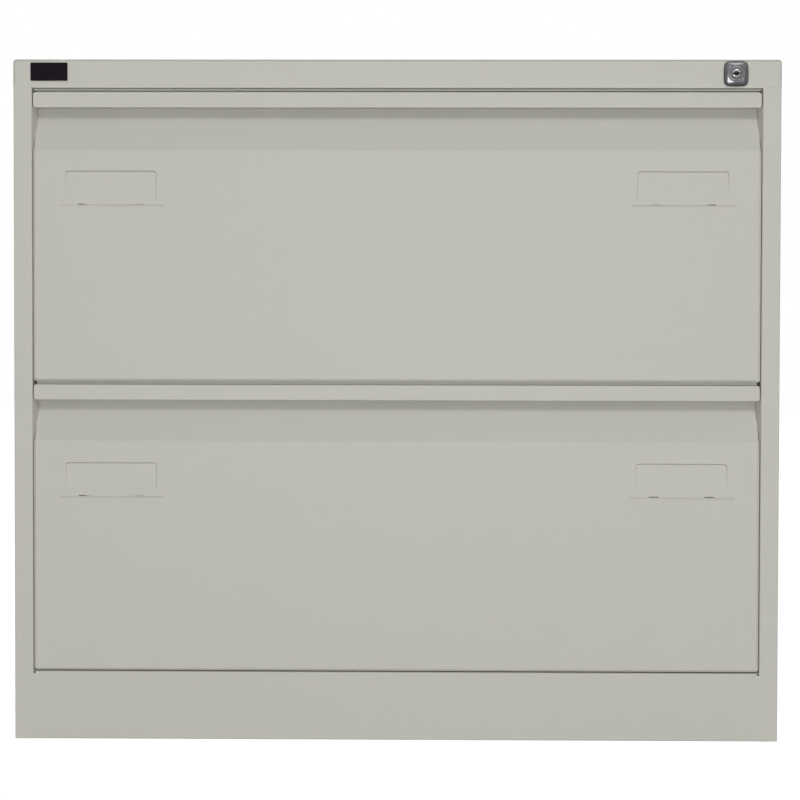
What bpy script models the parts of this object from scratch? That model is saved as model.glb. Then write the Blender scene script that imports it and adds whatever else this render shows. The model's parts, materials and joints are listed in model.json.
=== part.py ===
"""Two-drawer suspension filing cabinet in folded sheet steel, two rows of files wide.

Metres, +Z up, drawers open towards -Y, origin on the floor under the middle of the cabinet.
Each sheet-metal piece is an open folded surface that a Solidify modifier gives its gauge.
"""

import math

import bmesh
import bpy
from mathutils import Matrix, Vector

# Overall size, over the top panel and from the drawer faces to the back panel
WIDTH = 0.800
HEIGHT = 0.711
BODY_DEPTH = 0.622

# Layout of the front, from the floor up
FOOT_PROUD = 0.002
PLINTH_TOP = 0.0715
SILL_GAP = 0.0025
FRONT_GAP = 0.0035
TOP_RAIL = 0.030
TOP_OVERHANG = 0.0005
STILE = 0.0195
SIDE_GAP = 0.0022

# Sheet metal
SHEET = 0.0009
HEAVY_SHEET = 0.0012
BEND = 0.0014
TOP_BEND = 0.0026
BEND_STEPS = 2
FINE_SEGMENTS = 32
MEDIUM_SEGMENTS = 24
COARSE_SEGMENTS = 16
CORNER_STEPS = 3
MERGE_DISTANCE = 0.00001
SHARP_ANGLE = math.radians(35)
CLEARANCE = 0.0003
RETURN = 0.015
SCORE = 0.003
CORNER_RELIEF = 0.002

# Drawer front: a full-width grip folded over a recessed, leaning face
GRIP_HEIGHT = 0.0155
GRIP_REACH = 0.017
GRIP_HEM = 0.0030
LEAN_HEIGHT = 0.0455
SKIN_RETURN = 0.018
LINER_SETBACK = 0.024
LINER_FLANGE = 0.012

# Label pocket, pressed deep at its top edge and running out flush below
POCKET_INSET = 0.102
POCKET_WIDTH = 0.094
POCKET_DROP = 0.0838
POCKET_DEPTH = 0.0025
POCKET_RUN = 0.028
CARD_SLOT_DROP = 0.1192
CARD_SLOT_WIDTH = 0.108
CARD_SLOT_HEIGHT = 0.0013
CARD_TAB_WIDTH = 0.0115
CARD_TAB_OFFSET = 0.029
CARD_TAB_HEIGHT = 0.0021

# Drawer body
TRAY_FLOOR = 0.012
FILE_RAIL_DROP = 0.038
RAIL_LIP = 0.008
RAIL_FOLD = 0.012
CENTRE_RAIL_WIDTH = 0.0476
CENTRE_RAIL_HEIGHT = 0.030
DRAWER_BACK_GAP = 0.035
BACK_FLANGE = 0.014

# Telescopic slide: outer, middle and inner members with two ball cages
SLIDE_CENTRE = 0.060
SLIDE_SETBACK = 0.0325
SLIDE_REAR_GAP = 0.0345
SLIDE_THICKNESS = 0.0127
SLIDE_HEIGHT = 0.0457
SLIDE_SHEET = 0.0012
MIDDLE_SHEET = 0.0010
CAGE_SHEET = 0.0006
BALL = 0.0028
OUTER_REACH = 0.0102
OUTER_LIP = 0.0033
MIDDLE_REACH = 0.0106
CAGE_REACH = 0.0080
INNER_CAGE_REACH = 0.0102
INNER_FLANGE = 0.0075
CAGE_LENGTH = 0.250
CAGE_START = 0.160
CAGE_END_MARGIN = 0.020
OUTER_BALL_REACH = 0.0052
INNER_BALL_REACH = 0.0080
BALLS_IN_ROW = 3
BALL_SIDES = 8
BALL_RINGS = 4
BUFFER_LENGTH = 0.008
BUFFER_HEIGHT = 0.030
BUFFER_THICKNESS = 0.008

# Slotted uprights that carry the slides
UPRIGHT_INSET = 0.0009
UPRIGHT_WIDTH = 0.040
UPRIGHT_FOOT = 0.010
FRONT_UPRIGHT = 0.060
REAR_UPRIGHT_INSET = 0.122
HOOK_THICKNESS = 0.002
HOOK_HEIGHT = 0.012
HOOK_REACH = 0.0045
HOOK_PLAY = 0.0005
SPARE_SLOTS = 3
SLOT_PITCH = 0.050

# Base and feet
BASE_FLANGE = 0.020
PLINTH_SILL = 0.022
PLINTH_LIP = 0.012
FOOT_RADIUS = 0.015
FOOT_STEM = 0.004
FOOT_STEM_HEIGHT = 0.018
FOOT_INSET_X = 0.045
FOOT_INSET_Y = 0.050

# Lock in the top rail, and the bar that it moves sideways
LOCK_INSET = 0.048
LOCK_PROUD = 0.0052
ESCUTCHEON_WIDTH = 0.0258
ESCUTCHEON_HEIGHT = 0.0266
ESCUTCHEON_PROUD = 0.0040
ESCUTCHEON_SQUARENESS = 4.5
ESCUTCHEON_LIP = 0.0016
ESCUTCHEON_CROWN = 0.95
ESCUTCHEON_STEPS = (0.35, 0.75)
BARREL_RADIUS = 0.0088
BARREL_RECESS = 0.0006
PLUG_RADIUS = 0.0048
KEYWAY_WIDTH = 0.0084
KEYWAY_HEIGHT = 0.0022
KEYWAY_DEPTH = 0.009
NUT_ACROSS_FLATS = 0.0222
NUT_THICKNESS = 0.004
CAM_THROW = 0.005
CAM_HUB = 0.0062
CAM_ARM = 0.0040
CAM_REST_ANGLE = 315
CAM_THICKNESS = 0.002
CAM_PIN = 0.0020
CAM_TAIL = 0.0044
CAM_GAP = 0.0008
BAR_SETBACK = 0.029
BAR_THICKNESS = 0.002
BAR_WIDTH = 0.010
BAR_WALL_GAP = 0.0018
BAR_HEAD_MARGIN = 0.0032
BAR_PIN_PLAY = 0.0004
BAR_FOOT = 0.008
TAB_REACH = 0.009
TAB_RISE = 0.096
TAB_HEIGHT = 0.014
CATCH_INSET = 0.002
CATCH_REACH = 0.0104
CATCH_LENGTH = 0.028
CATCH_SHEET = 0.0015
GUIDE_HEIGHT = 0.022
GUIDE_RISE = 0.180
GUIDE_WALL = 0.0014

# Badge plate at the other end of the top rail
BADGE_INSET = 0.038
BADGE_WIDTH = 0.0387
BADGE_HEIGHT = 0.0189
BADGE_THICKNESS = 0.0012
BADGE_RISE = 0.0018
BADGE_CORNER = 0.001

# Places worked out from the sizes above
FRONT = -(BODY_DEPTH - LOCK_PROUD) / 2
REAR = FRONT + BODY_DEPTH
SIDE = WIDTH / 2 - TOP_OVERHANG
OPENING = SIDE - STILE
WALL = SIDE - SHEET - CLEARANCE
SIDE_TOP = HEIGHT - TOP_RAIL - CLEARANCE
SIDE_REAR = REAR - SHEET - CLEARANCE
UPRIGHT = OPENING - UPRIGHT_INSET
SLIDE = UPRIGHT - CLEARANCE
TRAY = SLIDE - SLIDE_THICKNESS - CLEARANCE
FRONT_HALF = OPENING - SIDE_GAP
DRAWER_FRONT = (HEIGHT - TOP_RAIL - PLINTH_TOP - SILL_GAP - 2 * FRONT_GAP) / 2
LOWER = PLINTH_TOP + SILL_GAP
UPPER = LOWER + DRAWER_FRONT + FRONT_GAP
FILE_RAIL = DRAWER_FRONT - FILE_RAIL_DROP
TRAY_START = LINER_SETBACK + SHEET + CLEARANCE
TRAY_END = BODY_DEPTH - DRAWER_BACK_GAP
BASE = FOOT_PROUD + SHEET + CLEARANCE
LOCK_X = WIDTH / 2 - LOCK_INSET
LOCK_Z = HEIGHT - TOP_RAIL / 2
CAM_SETBACK = BAR_SETBACK - CAM_THICKNESS - CAM_GAP
PIN_REST = CAM_THROW * math.cos(math.radians(CAM_REST_ANGLE))
BAR_TRAVEL = 2 * PIN_REST
BAR_SIDE = WALL - BAR_WALL_GAP - BAR_WIDTH
SLIDE_LENGTH = BODY_DEPTH - SLIDE_SETBACK - SLIDE_REAR_GAP
REAR_UPRIGHT = BODY_DEPTH - REAR_UPRIGHT_INSET

# The slide's cross-section, counted from the outer member's back towards the drawer
RACE = BALL + 2 * CLEARANCE
OUTER_HALF = SLIDE_HEIGHT / 2
MIDDLE_HALF = OUTER_HALF - SLIDE_SHEET - RACE
INNER_HALF = MIDDLE_HALF - MIDDLE_SHEET - RACE
OUTER_CAGE_BACK = SLIDE_SHEET + CLEARANCE
MIDDLE_BACK = OUTER_CAGE_BACK + CAGE_SHEET + CLEARANCE
INNER_CAGE_BACK = MIDDLE_BACK + MIDDLE_SHEET + CLEARANCE

OBJECT = bpy.data.collections.new("suspension_file_cabinet")
CUTTERS = bpy.data.collections.new("cutters")


def clear_scene():
    for obj in list(bpy.data.objects):
        bpy.data.objects.remove(obj, do_unlink=True)


def finish(name, colour, roughness, metallic):
    """A plain Principled material."""
    material = bpy.data.materials.new(name)
    material.use_nodes = True
    shader = material.node_tree.nodes["Principled BSDF"]
    shader.inputs["Base Color"].default_value = (*colour, 1.0)
    shader.inputs["Roughness"].default_value = roughness
    shader.inputs["Metallic"].default_value = metallic
    return material


def make_finishes():
    return {
        "paint": finish("grey_powder_coat", (0.509, 0.503, 0.451), 0.5, 0.0),
        "inner": finish("inner_powder_coat", (0.46, 0.455, 0.41), 0.55, 0.0),
        "zinc": finish("zinc_plated_steel", (0.62, 0.63, 0.64), 0.35, 1.0),
        "chrome": finish("polished_chrome", (0.82, 0.83, 0.84), 0.12, 1.0),
        "die_cast": finish("dark_die_cast", (0.16, 0.15, 0.14), 0.4, 0.8),
        "plastic": finish("black_plastic", (0.03, 0.03, 0.03), 0.5, 0.0),
        "rubber": finish("black_rubber", (0.02, 0.02, 0.02), 0.8, 0.0),
        "badge": finish("glossy_plum_plastic", (0.022, 0.014, 0.020), 0.15, 0.0),
    }


def joint_frame(name, centre):
    """An empty on a joint's axis, which carries the pieces that move with it."""
    empty = bpy.data.objects.new(name, None)
    empty.location = centre
    OBJECT.objects.link(empty)
    return empty


def place(name, mesh, material, frame=None, at=(0, 0, 0)):
    """Puts a mesh in the model as a named piece."""
    if not mesh.materials:
        mesh.materials.append(material)
    piece = bpy.data.objects.new(name, mesh)
    piece.parent = frame
    piece.location = at
    OBJECT.objects.link(piece)
    return piece


def facing_out(bm):
    """Turns the faces of a closed form outwards."""
    bm.normal_update()
    bmesh.ops.recalc_face_normals(bm, faces=bm.faces[:])


def mesh_from(bm):
    mesh = bpy.data.meshes.new("form")
    bm.to_mesh(mesh)
    bm.free()
    return mesh


def baked(mesh, sheet=None, joined=(), cuts=()):
    """The mesh with its gauge, added forms and cut-outs applied, so that copies can share it."""
    piece = bpy.data.objects.new("blank", mesh)
    CUTTERS.objects.link(piece)
    if sheet:
        gauge = piece.modifiers.new("gauge", "SOLIDIFY")
        gauge.thickness = sheet
        gauge.offset = -1.0
        gauge.use_even_offset = True
    steps = [(form, "UNION") for form in joined]
    steps += [(form, "DIFFERENCE") for form in cuts]
    for form, operation in steps:
        step = piece.modifiers.new(operation.lower(), "BOOLEAN")
        step.operation = operation
        step.object = cutter(form)
    depsgraph = bpy.context.evaluated_depsgraph_get()
    result = bpy.data.meshes.new_from_object(piece.evaluated_get(depsgraph))
    bpy.data.objects.remove(piece)
    return result


def cutter(mesh):
    tool = bpy.data.objects.new("cutter", mesh)
    tool.hide_render = True
    tool.display_type = "WIRE"
    CUTTERS.objects.link(tool)
    return tool


def mirrored(mesh):
    """The same form on the other side of the cabinet."""
    other = mesh.copy()
    other.transform(Matrix.Scale(-1, 4, (1, 0, 0)))
    other.flip_normals()
    return other


def rounded(points, radius, steps=BEND_STEPS):
    """An open path with each corner turned as an arc; points on a straight run are kept."""
    path = [Vector(points[0])]
    for before, corner, after in zip(points, points[1:], points[2:]):
        corner = Vector(corner)
        back = (Vector(before) - corner).normalized()
        ahead = (Vector(after) - corner).normalized()
        half = back.angle(ahead) / 2
        if half > math.radians(89):
            path.append(corner)
            continue
        centre = corner + (back + ahead).normalized() * radius / math.sin(half)
        start = corner + back * radius / math.tan(half) - centre
        end = corner + ahead * radius / math.tan(half) - centre
        turn = start.angle_signed(end)
        for step in range(steps + 1):
            path.append(centre + Matrix.Rotation(-turn * step / steps, 2) @ start)
    path.append(Vector(points[-1]))
    return path


PLANES = {
    "yz": lambda u, v, run: Vector((run, u, v)),
    "xz": lambda u, v, run: Vector((u, run, v)),
    "xy": lambda u, v, run: Vector((u, v, run)),
}


def folded(path, stations, plane):
    """An open sheet: a path in a plane, swept through stations square to it.

    Its faces look to the left of the path, so the gauge is added on the right.
    """
    bm = bmesh.new()
    put = PLANES[plane]
    verts = [bm.verts.new(put(*point, stations[0])) for point in path]
    edges = [bm.edges.new(pair) for pair in zip(verts, verts[1:])]
    shift = put(0, 0, 1)
    for near, far in zip(stations, stations[1:]):
        made = bmesh.ops.extrude_edge_only(bm, edges=edges)["geom"]
        moved = [item for item in made if isinstance(item, bmesh.types.BMVert)]
        bmesh.ops.translate(bm, verts=moved, vec=shift * (far - near))
        fresh = set(moved)
        edges = [
            item for item in made
            if isinstance(item, bmesh.types.BMEdge) and set(item.verts) <= fresh
        ]
    first, second = Vector(path[0]), Vector(path[1])
    step = second - first
    outward = put(-step.y, step.x, 0) - put(0, 0, 0)
    face_outwards(bm, put(*((first + second) / 2), (stations[0] + stations[1]) / 2), outward)
    return bm


def face_outwards(bm, spot, outward):
    """Makes all faces agree with the one nearest to a spot, turned to look outward."""
    facing_out(bm)
    bm.normal_update()
    nearest = min(bm.faces, key=lambda face: (face.calc_center_median() - spot).length)
    if nearest.normal.dot(outward) < 0:
        bmesh.ops.reverse_faces(bm, faces=bm.faces[:])


def flange(bm, chosen, *folds):
    """Folds out the free edges whose ends both pass the test, once for each fold."""
    edges = [edge for edge in bm.edges if edge.is_boundary and all(chosen(vert.co) for vert in edge.verts)]
    for fold in folds:
        made = bmesh.ops.extrude_edge_only(bm, edges=edges)["geom"]
        moved = [item for item in made if isinstance(item, bmesh.types.BMVert)]
        bmesh.ops.translate(bm, verts=moved, vec=fold)
        fresh = set(moved)
        edges = [
            item for item in made
            if isinstance(item, bmesh.types.BMEdge) and set(item.verts) <= fresh
        ]


def near(value, target, slack=0.00005):
    return abs(value - target) < slack


def block(low, high):
    """A box between two corners."""
    low, high = Vector(low), Vector(high)
    bm = bmesh.new()
    size = Matrix.Diagonal((*(high - low), 1))
    bmesh.ops.create_cube(bm, size=1, matrix=Matrix.Translation((low + high) / 2) @ size)
    return mesh_from(bm)


def rod(radius, start, end, segments):
    """A round bar along Y between two depths, about the local origin."""
    bm = bmesh.new()
    turn = Matrix.Translation((0, (start + end) / 2, 0)) @ Matrix.Rotation(math.pi / 2, 4, "X")
    bmesh.ops.create_cone(
        bm, cap_ends=True, segments=segments, radius1=radius, radius2=radius, depth=end - start, matrix=turn
    )
    return mesh_from(bm)


def prism(outline, start, end, plane):
    """A closed outline filled and extruded: a flat curve made a mesh, laid in a plane."""
    curve = bpy.data.curves.new("outline", "CURVE")
    curve.dimensions = "2D"
    curve.fill_mode = "BOTH"
    curve.extrude = (end - start) / 2
    for loop in outline:
        spline = curve.splines.new("POLY")
        spline.points.add(len(loop) - 1)
        for point, (u, v) in zip(spline.points, loop):
            point.co = (u, v, 0, 1)
        spline.use_cyclic_u = True
    holder = bpy.data.objects.new("outline", curve)
    CUTTERS.objects.link(holder)
    depsgraph = bpy.context.evaluated_depsgraph_get()
    mesh = bpy.data.meshes.new_from_object(holder.evaluated_get(depsgraph))
    bpy.data.objects.remove(holder)
    bm = bmesh.new()
    bm.from_mesh(mesh)
    bmesh.ops.remove_doubles(bm, verts=bm.verts, dist=MERGE_DISTANCE)
    put = PLANES[plane]
    middle = (start + end) / 2
    for vert in bm.verts:
        vert.co = put(vert.co.x, vert.co.y, middle + vert.co.z)
    facing_out(bm)
    return mesh_from(bm)


def together(*meshes):
    """Several separate closed forms in one mesh, to add or cut in one step."""
    bm = bmesh.new()
    for mesh in meshes:
        bm.from_mesh(mesh)
    return mesh_from(bm)


def turned(profile, segments, axis, closed=True):
    """A profile of (radius, height) pairs turned about an axis by a Screw modifier."""
    bm = bmesh.new()
    if axis == "Y":
        verts = [bm.verts.new((radius, height, 0)) for radius, height in profile]
    else:
        verts = [bm.verts.new((radius, 0, height)) for radius, height in profile]
    after = verts[1:] + verts[:1] if closed else verts[1:]
    for pair in zip(verts, after):
        bm.edges.new(pair)
    holder = bpy.data.objects.new("profile", mesh_from(bm))
    CUTTERS.objects.link(holder)
    lathe = holder.modifiers.new("lathe", "SCREW")
    lathe.axis = axis
    lathe.steps = segments
    lathe.render_steps = segments
    lathe.use_merge_vertices = True
    lathe.merge_threshold = MERGE_DISTANCE
    depsgraph = bpy.context.evaluated_depsgraph_get()
    mesh = bpy.data.meshes.new_from_object(holder.evaluated_get(depsgraph))
    bpy.data.objects.remove(holder)
    bm = bmesh.new()
    bm.from_mesh(mesh)
    facing_out(bm)
    mesh = mesh_from(bm)
    mesh.shade_smooth()
    mesh.set_sharp_from_angle(angle=SHARP_ANGLE)
    return mesh


def arc(centre, radius, start, end, steps):
    """Points on an arc between two angles in degrees."""
    angles = [math.radians(start + (end - start) * step / steps) for step in range(steps + 1)]
    return [(centre[0] + radius * math.cos(a), centre[1] + radius * math.sin(a)) for a in angles]


def make_side_panels(finishes):
    """Side panel with the front stile folded from it and a return behind the stile."""
    seam_start = FRONT + BAR_SETBACK + BAR_WIDTH
    seam_end = SIDE_REAR - UPRIGHT_WIDTH
    path = rounded(
        [
            (SIDE - RETURN, SIDE_REAR),
            (SIDE, SIDE_REAR),
            (SIDE, seam_end),
            (SIDE, seam_start),
            (SIDE, FRONT),
            (OPENING, FRONT),
            (OPENING, FRONT + RETURN),
        ],
        BEND,
    )
    bm = folded(path, (FOOT_PROUD, SIDE_TOP), "xy")

    def top_seam(co):
        return near(co.z, SIDE_TOP) and near(co.x, SIDE) and seam_start - SHEET < co.y < seam_end + SHEET

    flange(bm, top_seam, (-RETURN, 0, 0))
    notch = block(
        (OPENING - SHEET, FRONT - SHEET, PLINTH_TOP - CORNER_RELIEF),
        (OPENING + CORNER_RELIEF, FRONT + 2 * SHEET, PLINTH_TOP),
    )
    mesh = baked(mesh_from(bm), SHEET, cuts=[notch])
    place("right_side_panel", mesh, finishes["paint"])
    place("left_side_panel", mirrored(mesh), finishes["paint"])


def make_top_panel(finishes):
    """A shallow tray turned upside down; its front skirt is the rail over the drawers."""
    bm = bmesh.new()
    size = Matrix.Diagonal((WIDTH, BODY_DEPTH, TOP_RAIL, 1))
    middle = Matrix.Translation((0, (FRONT + REAR) / 2, HEIGHT - TOP_RAIL / 2))
    bmesh.ops.create_cube(bm, size=1, matrix=middle @ size)
    bm.normal_update()
    under = [face for face in bm.faces if face.normal.z < -0.5]
    bmesh.ops.inset_region(bm, faces=under, thickness=RETURN, use_even_offset=True)
    bmesh.ops.delete(bm, geom=under, context="FACES")

    def outer_bend(edge):
        start, end = (vert.co for vert in edge.verts)
        along_top = near(start.z, HEIGHT) and near(end.z, HEIGHT)
        return along_top or abs(start.z - end.z) > TOP_RAIL / 2

    bends = [edge for edge in bm.edges if outer_bend(edge)]
    bmesh.ops.bevel(
        bm, geom=bends, offset=TOP_BEND, offset_type="OFFSET",
        segments=BEND_STEPS + 1, profile=0.5, affect="EDGES",
    )
    face_outwards(bm, Vector((0, 0, HEIGHT)), Vector((0, 0, 1)))
    lock_hole = rod(BARREL_RADIUS + CLEARANCE, -SCORE, SCORE, FINE_SEGMENTS)
    lock_hole.transform(Matrix.Translation((LOCK_X, FRONT, LOCK_Z)))
    under_rail = HEIGHT - TOP_RAIL
    bar_front = FRONT + BAR_SETBACK
    bar_notch = block(
        (BAR_SIDE - BAR_TRAVEL - BAR_PIN_PLAY, bar_front - SCORE, under_rail - SHEET),
        (BAR_SIDE + BAR_WIDTH + BAR_PIN_PLAY, bar_front + BAR_THICKNESS + SCORE, under_rail + 2 * SHEET),
    )
    mesh = baked(mesh_from(bm), SHEET, cuts=[lock_hole, bar_notch])
    place("top_panel", mesh, finishes["paint"])


def make_back_panel(finishes):
    """Flat back laid over the side panels' rear flanges, folded in at top and bottom."""
    turn = OPENING - SCORE
    bm = folded([(REAR, SIDE_TOP), (REAR, FOOT_PROUD)], (-SIDE, -turn, turn, SIDE), "yz")

    def top_or_bottom(co):
        return abs(co.x) < turn + SHEET and (near(co.z, SIDE_TOP) or near(co.z, FOOT_PROUD))

    flange(bm, top_or_bottom, (0, -RETURN, 0))
    face_outwards(bm, Vector((0, REAR, HEIGHT / 2)), Vector((0, 1, 0)))
    place("back_panel", baked(mesh_from(bm), SHEET), finishes["paint"])


def make_plinth(finishes):
    """The kick plate between the stiles, folded back to make the sill under the lower drawer."""
    path = rounded(
        [
            (FRONT + RETURN, FOOT_PROUD),
            (FRONT, FOOT_PROUD),
            (FRONT, PLINTH_TOP),
            (FRONT + PLINTH_SILL, PLINTH_TOP),
            (FRONT + PLINTH_SILL, PLINTH_TOP - PLINTH_LIP),
        ],
        BEND,
    )
    half = OPENING - CLEARANCE
    mesh = baked(mesh_from(folded(path, (-half, half), "yz")), SHEET)
    place("plinth_panel", mesh, finishes["paint"])


def foot_places():
    inset = WIDTH / 2 - FOOT_INSET_X
    return [
        (f"{row}_{side}_foot", sign * inset, depth)
        for row, depth in (("front", FRONT + FOOT_INSET_Y), ("rear", REAR - FOOT_INSET_Y))
        for side, sign in (("left", -1), ("right", 1))
    ]


def make_base(finishes):
    """Bottom panel with its sides and rear turned up, and the four feet screwed into it."""
    front = FRONT + RETURN + CLEARANCE
    rear = SIDE_REAR - SHEET - CLEARANCE
    turned_up = BASE + BASE_FLANGE
    path = rounded(
        [
            (WALL, turned_up),
            (WALL, BASE),
            (WALL - SCORE, BASE),
            (SCORE - WALL, BASE),
            (-WALL, BASE),
            (-WALL, turned_up),
        ],
        BEND,
    )
    bm = folded(path, (front, rear), "xz")

    def rear_edge(co):
        return near(co.y, rear) and near(co.z, BASE) and abs(co.x) < WALL - SCORE + SHEET

    flange(bm, rear_edge, (0, 0, BASE_FLANGE))
    face_outwards(bm, Vector((0, 0, BASE)), Vector((0, 0, -1)))
    holes = []
    for _, x, y in foot_places():
        hole = rod(FOOT_STEM + CLEARANCE, -SCORE, SCORE, COARSE_SEGMENTS)
        hole.transform(Matrix.Translation((x, y, BASE)) @ Matrix.Rotation(math.pi / 2, 4, "X"))
        holes.append(hole)
    mesh = baked(mesh_from(bm), HEAVY_SHEET, cuts=[together(*holes)])
    place("base_panel", mesh, finishes["inner"])

    pad = BASE - CLEARANCE
    profile = [(0, 0), (FOOT_RADIUS, 0), (FOOT_RADIUS, pad), (FOOT_STEM, pad), (FOOT_STEM, FOOT_STEM_HEIGHT)]
    profile.append((0, FOOT_STEM_HEIGHT))
    foot = turned(profile, MEDIUM_SEGMENTS, "Z", closed=False)
    for name, x, y in foot_places():
        place(name, foot, finishes["plastic"], at=(x, y, 0))


def make_uprights(finishes):
    """Slotted hat channels on the side panels; the slides hook into them."""
    back = WALL - HEAVY_SHEET
    path = [
        (back, -UPRIGHT_FOOT),
        (back, 0),
        (UPRIGHT, 0),
        (UPRIGHT, UPRIGHT_WIDTH),
        (back, UPRIGHT_WIDTH),
        (back, UPRIGHT_WIDTH + UPRIGHT_FOOT),
    ]
    bottom = BASE + BASE_FLANGE + CLEARANCE
    top = SIDE_TOP - SHEET - CLEARANCE
    sheet = mesh_from(folded(rounded(path, BEND), (bottom, top), "xy"))
    half_width = HOOK_THICKNESS / 2 + HOOK_PLAY
    half_height = HOOK_HEIGHT / 2 + HOOK_PLAY
    slots = []
    for drawer in (LOWER, UPPER):
        for spare in range(SPARE_SLOTS + 1):
            middle = Vector((UPRIGHT, UPRIGHT_WIDTH / 2, drawer + SLIDE_CENTRE + spare * SLOT_PITCH))
            reach = Vector((2 * HEAVY_SHEET, half_width, half_height))
            slots.append(block(middle - reach, middle + reach))
    right = baked(sheet, HEAVY_SHEET, cuts=[together(*slots)])
    left = mirrored(right)
    for row, depth in (("front", FRONT_UPRIGHT), ("rear", REAR_UPRIGHT)):
        place(f"{row}_right_upright", right, finishes["inner"], at=(0, FRONT + depth, 0))
        place(f"{row}_left_upright", left, finishes["inner"], at=(0, FRONT + depth, 0))


def make_badge(finishes):
    """A plain glossy plate at the left end of the top rail."""
    half_width = BADGE_WIDTH / 2 - BADGE_CORNER
    half_height = BADGE_HEIGHT / 2 - BADGE_CORNER
    outline = []
    for turn, (sx, sz) in enumerate(((1, 1), (-1, 1), (-1, -1), (1, -1))):
        corner = (sx * half_width, sz * half_height)
        outline += arc(corner, BADGE_CORNER, 90 * turn, 90 * turn + 90, CORNER_STEPS)
    plate = prism([outline], -CLEARANCE - BADGE_THICKNESS, -CLEARANCE, "xz")
    place("badge_plate", plate, finishes["badge"], at=(BADGE_INSET - WIDTH / 2, FRONT, LOCK_Z + BADGE_RISE))


def superellipse(width, height, power, count):
    """A square with bulging sides and soft corners; a power of 2 makes it round."""
    points = []
    for step in range(count):
        angle = 2 * math.pi * step / count
        across = abs(math.cos(angle) / (width / 2)) ** power
        up = abs(math.sin(angle) / (height / 2)) ** power
        radius = (across + up) ** (-1 / power)
        points.append((radius * math.cos(angle), radius * math.sin(angle)))
    return points


def escutcheon_form():
    """The lock's cast surround: a loft from a swollen square rim to a round mouth."""
    count = FINE_SEGMENTS
    rim = superellipse(ESCUTCHEON_WIDTH, ESCUTCHEON_HEIGHT, ESCUTCHEON_SQUARENESS, count)
    mouth = BARREL_RADIUS + CLEARANCE
    circle = superellipse(2, 2, 2, count)
    proud = ESCUTCHEON_PROUD
    low_step, high_step = ESCUTCHEON_STEPS
    sections = [
        (rim, 1.0, -CLEARANCE),
        (rim, 1.0, -low_step * proud),
        (rim, ESCUTCHEON_CROWN, -high_step * proud),
        (circle, mouth + ESCUTCHEON_LIP, -proud),
        (circle, mouth, -proud),
        (circle, mouth, -CLEARANCE),
    ]
    bm = bmesh.new()
    rings = [
        [bm.verts.new((scale * u, depth, scale * v)) for u, v in outline]
        for outline, scale, depth in sections
    ]
    for inner, outer in zip(rings, rings[1:] + rings[:1]):
        for step in range(count):
            after = (step + 1) % count
            bm.faces.new((inner[step], inner[after], outer[after], outer[step]))
    facing_out(bm)
    return mesh_from(bm)


def square_on_corner(side):
    """A square whose flats face the diagonals, as the lock's tail stands at rest."""
    return arc((0, 0), side / math.sqrt(2), 0, 270, 3)


def cam_form():
    """Lock cam: a plate with a square hole, whose arm carries the pin that moves the bar."""
    lean = math.degrees(math.acos((CAM_HUB - CAM_ARM) / CAM_THROW))
    pin_u = PIN_REST
    pin_v = CAM_THROW * math.sin(math.radians(CAM_REST_ANGLE))
    outline = arc((0, 0), CAM_HUB, CAM_REST_ANGLE + lean, CAM_REST_ANGLE + 360 - lean, COARSE_SEGMENTS)
    from_angle, to_angle = CAM_REST_ANGLE - lean, CAM_REST_ANGLE + lean
    outline += arc((pin_u, pin_v), CAM_ARM, from_angle, to_angle, COARSE_SEGMENTS // 2)
    hole = square_on_corner(CAM_TAIL + 2 * CLEARANCE)
    plate = prism([outline, hole], CAM_SETBACK, CAM_SETBACK + CAM_THICKNESS, "xz")
    pin_start = CAM_SETBACK + CAM_THICKNESS / 2
    pin = rod(CAM_PIN, pin_start, BAR_SETBACK + BAR_THICKNESS + CAM_GAP, COARSE_SEGMENTS)
    pin.transform(Matrix.Translation((pin_u, 0, pin_v)))
    return baked(plate, joined=[pin])


def plug_form():
    """Lock plug: a round core with the keyway in its face and a square tail for the cam."""
    core = rod(PLUG_RADIUS, -LOCK_PROUD, CAM_SETBACK - CLEARANCE, FINE_SEGMENTS)
    tail_end = CAM_SETBACK + CAM_THICKNESS + CLEARANCE
    tail = prism([square_on_corner(CAM_TAIL)], CAM_SETBACK - SCORE, tail_end, "xz")
    keyway = block(
        (-KEYWAY_WIDTH / 2, -LOCK_PROUD - SCORE, -KEYWAY_HEIGHT / 2),
        (KEYWAY_WIDTH / 2, KEYWAY_DEPTH - LOCK_PROUD, KEYWAY_HEIGHT / 2),
    )
    return baked(core, joined=[tail], cuts=[keyway])


def bar_form():
    """The bar that the cam moves: a slotted head behind the rail and a leg with a tab for each drawer."""
    inner = BAR_SIDE - LOCK_X
    outer = inner + BAR_WIDTH
    reach = CAM_PIN + BAR_PIN_PLAY
    slot_low = -CAM_THROW - reach
    slot_high = reach - PIN_REST
    slot = rectangle(PIN_REST - reach, slot_low, PIN_REST + reach, slot_high)
    head_end = PIN_REST - reach - BAR_HEAD_MARGIN
    head_low = slot_low - BAR_HEAD_MARGIN
    head_high = slot_high + BAR_HEAD_MARGIN
    outline = [(head_end, head_high), (head_end, head_low), (inner, head_low)]
    for drawer in (UPPER, LOWER):
        tab_low = drawer + TAB_RISE - LOCK_Z
        tab_high = tab_low + TAB_HEIGHT
        outline += [
            (inner, tab_high),
            (inner - TAB_REACH, tab_high),
            (inner - TAB_REACH, tab_low),
            (inner, tab_low),
        ]
    foot = LOWER + BAR_FOOT - LOCK_Z
    outline += [(inner, foot), (outer, foot), (outer, head_high)]
    return prism([outline, slot], BAR_SETBACK, BAR_SETBACK + BAR_THICKNESS, "xz")


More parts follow.
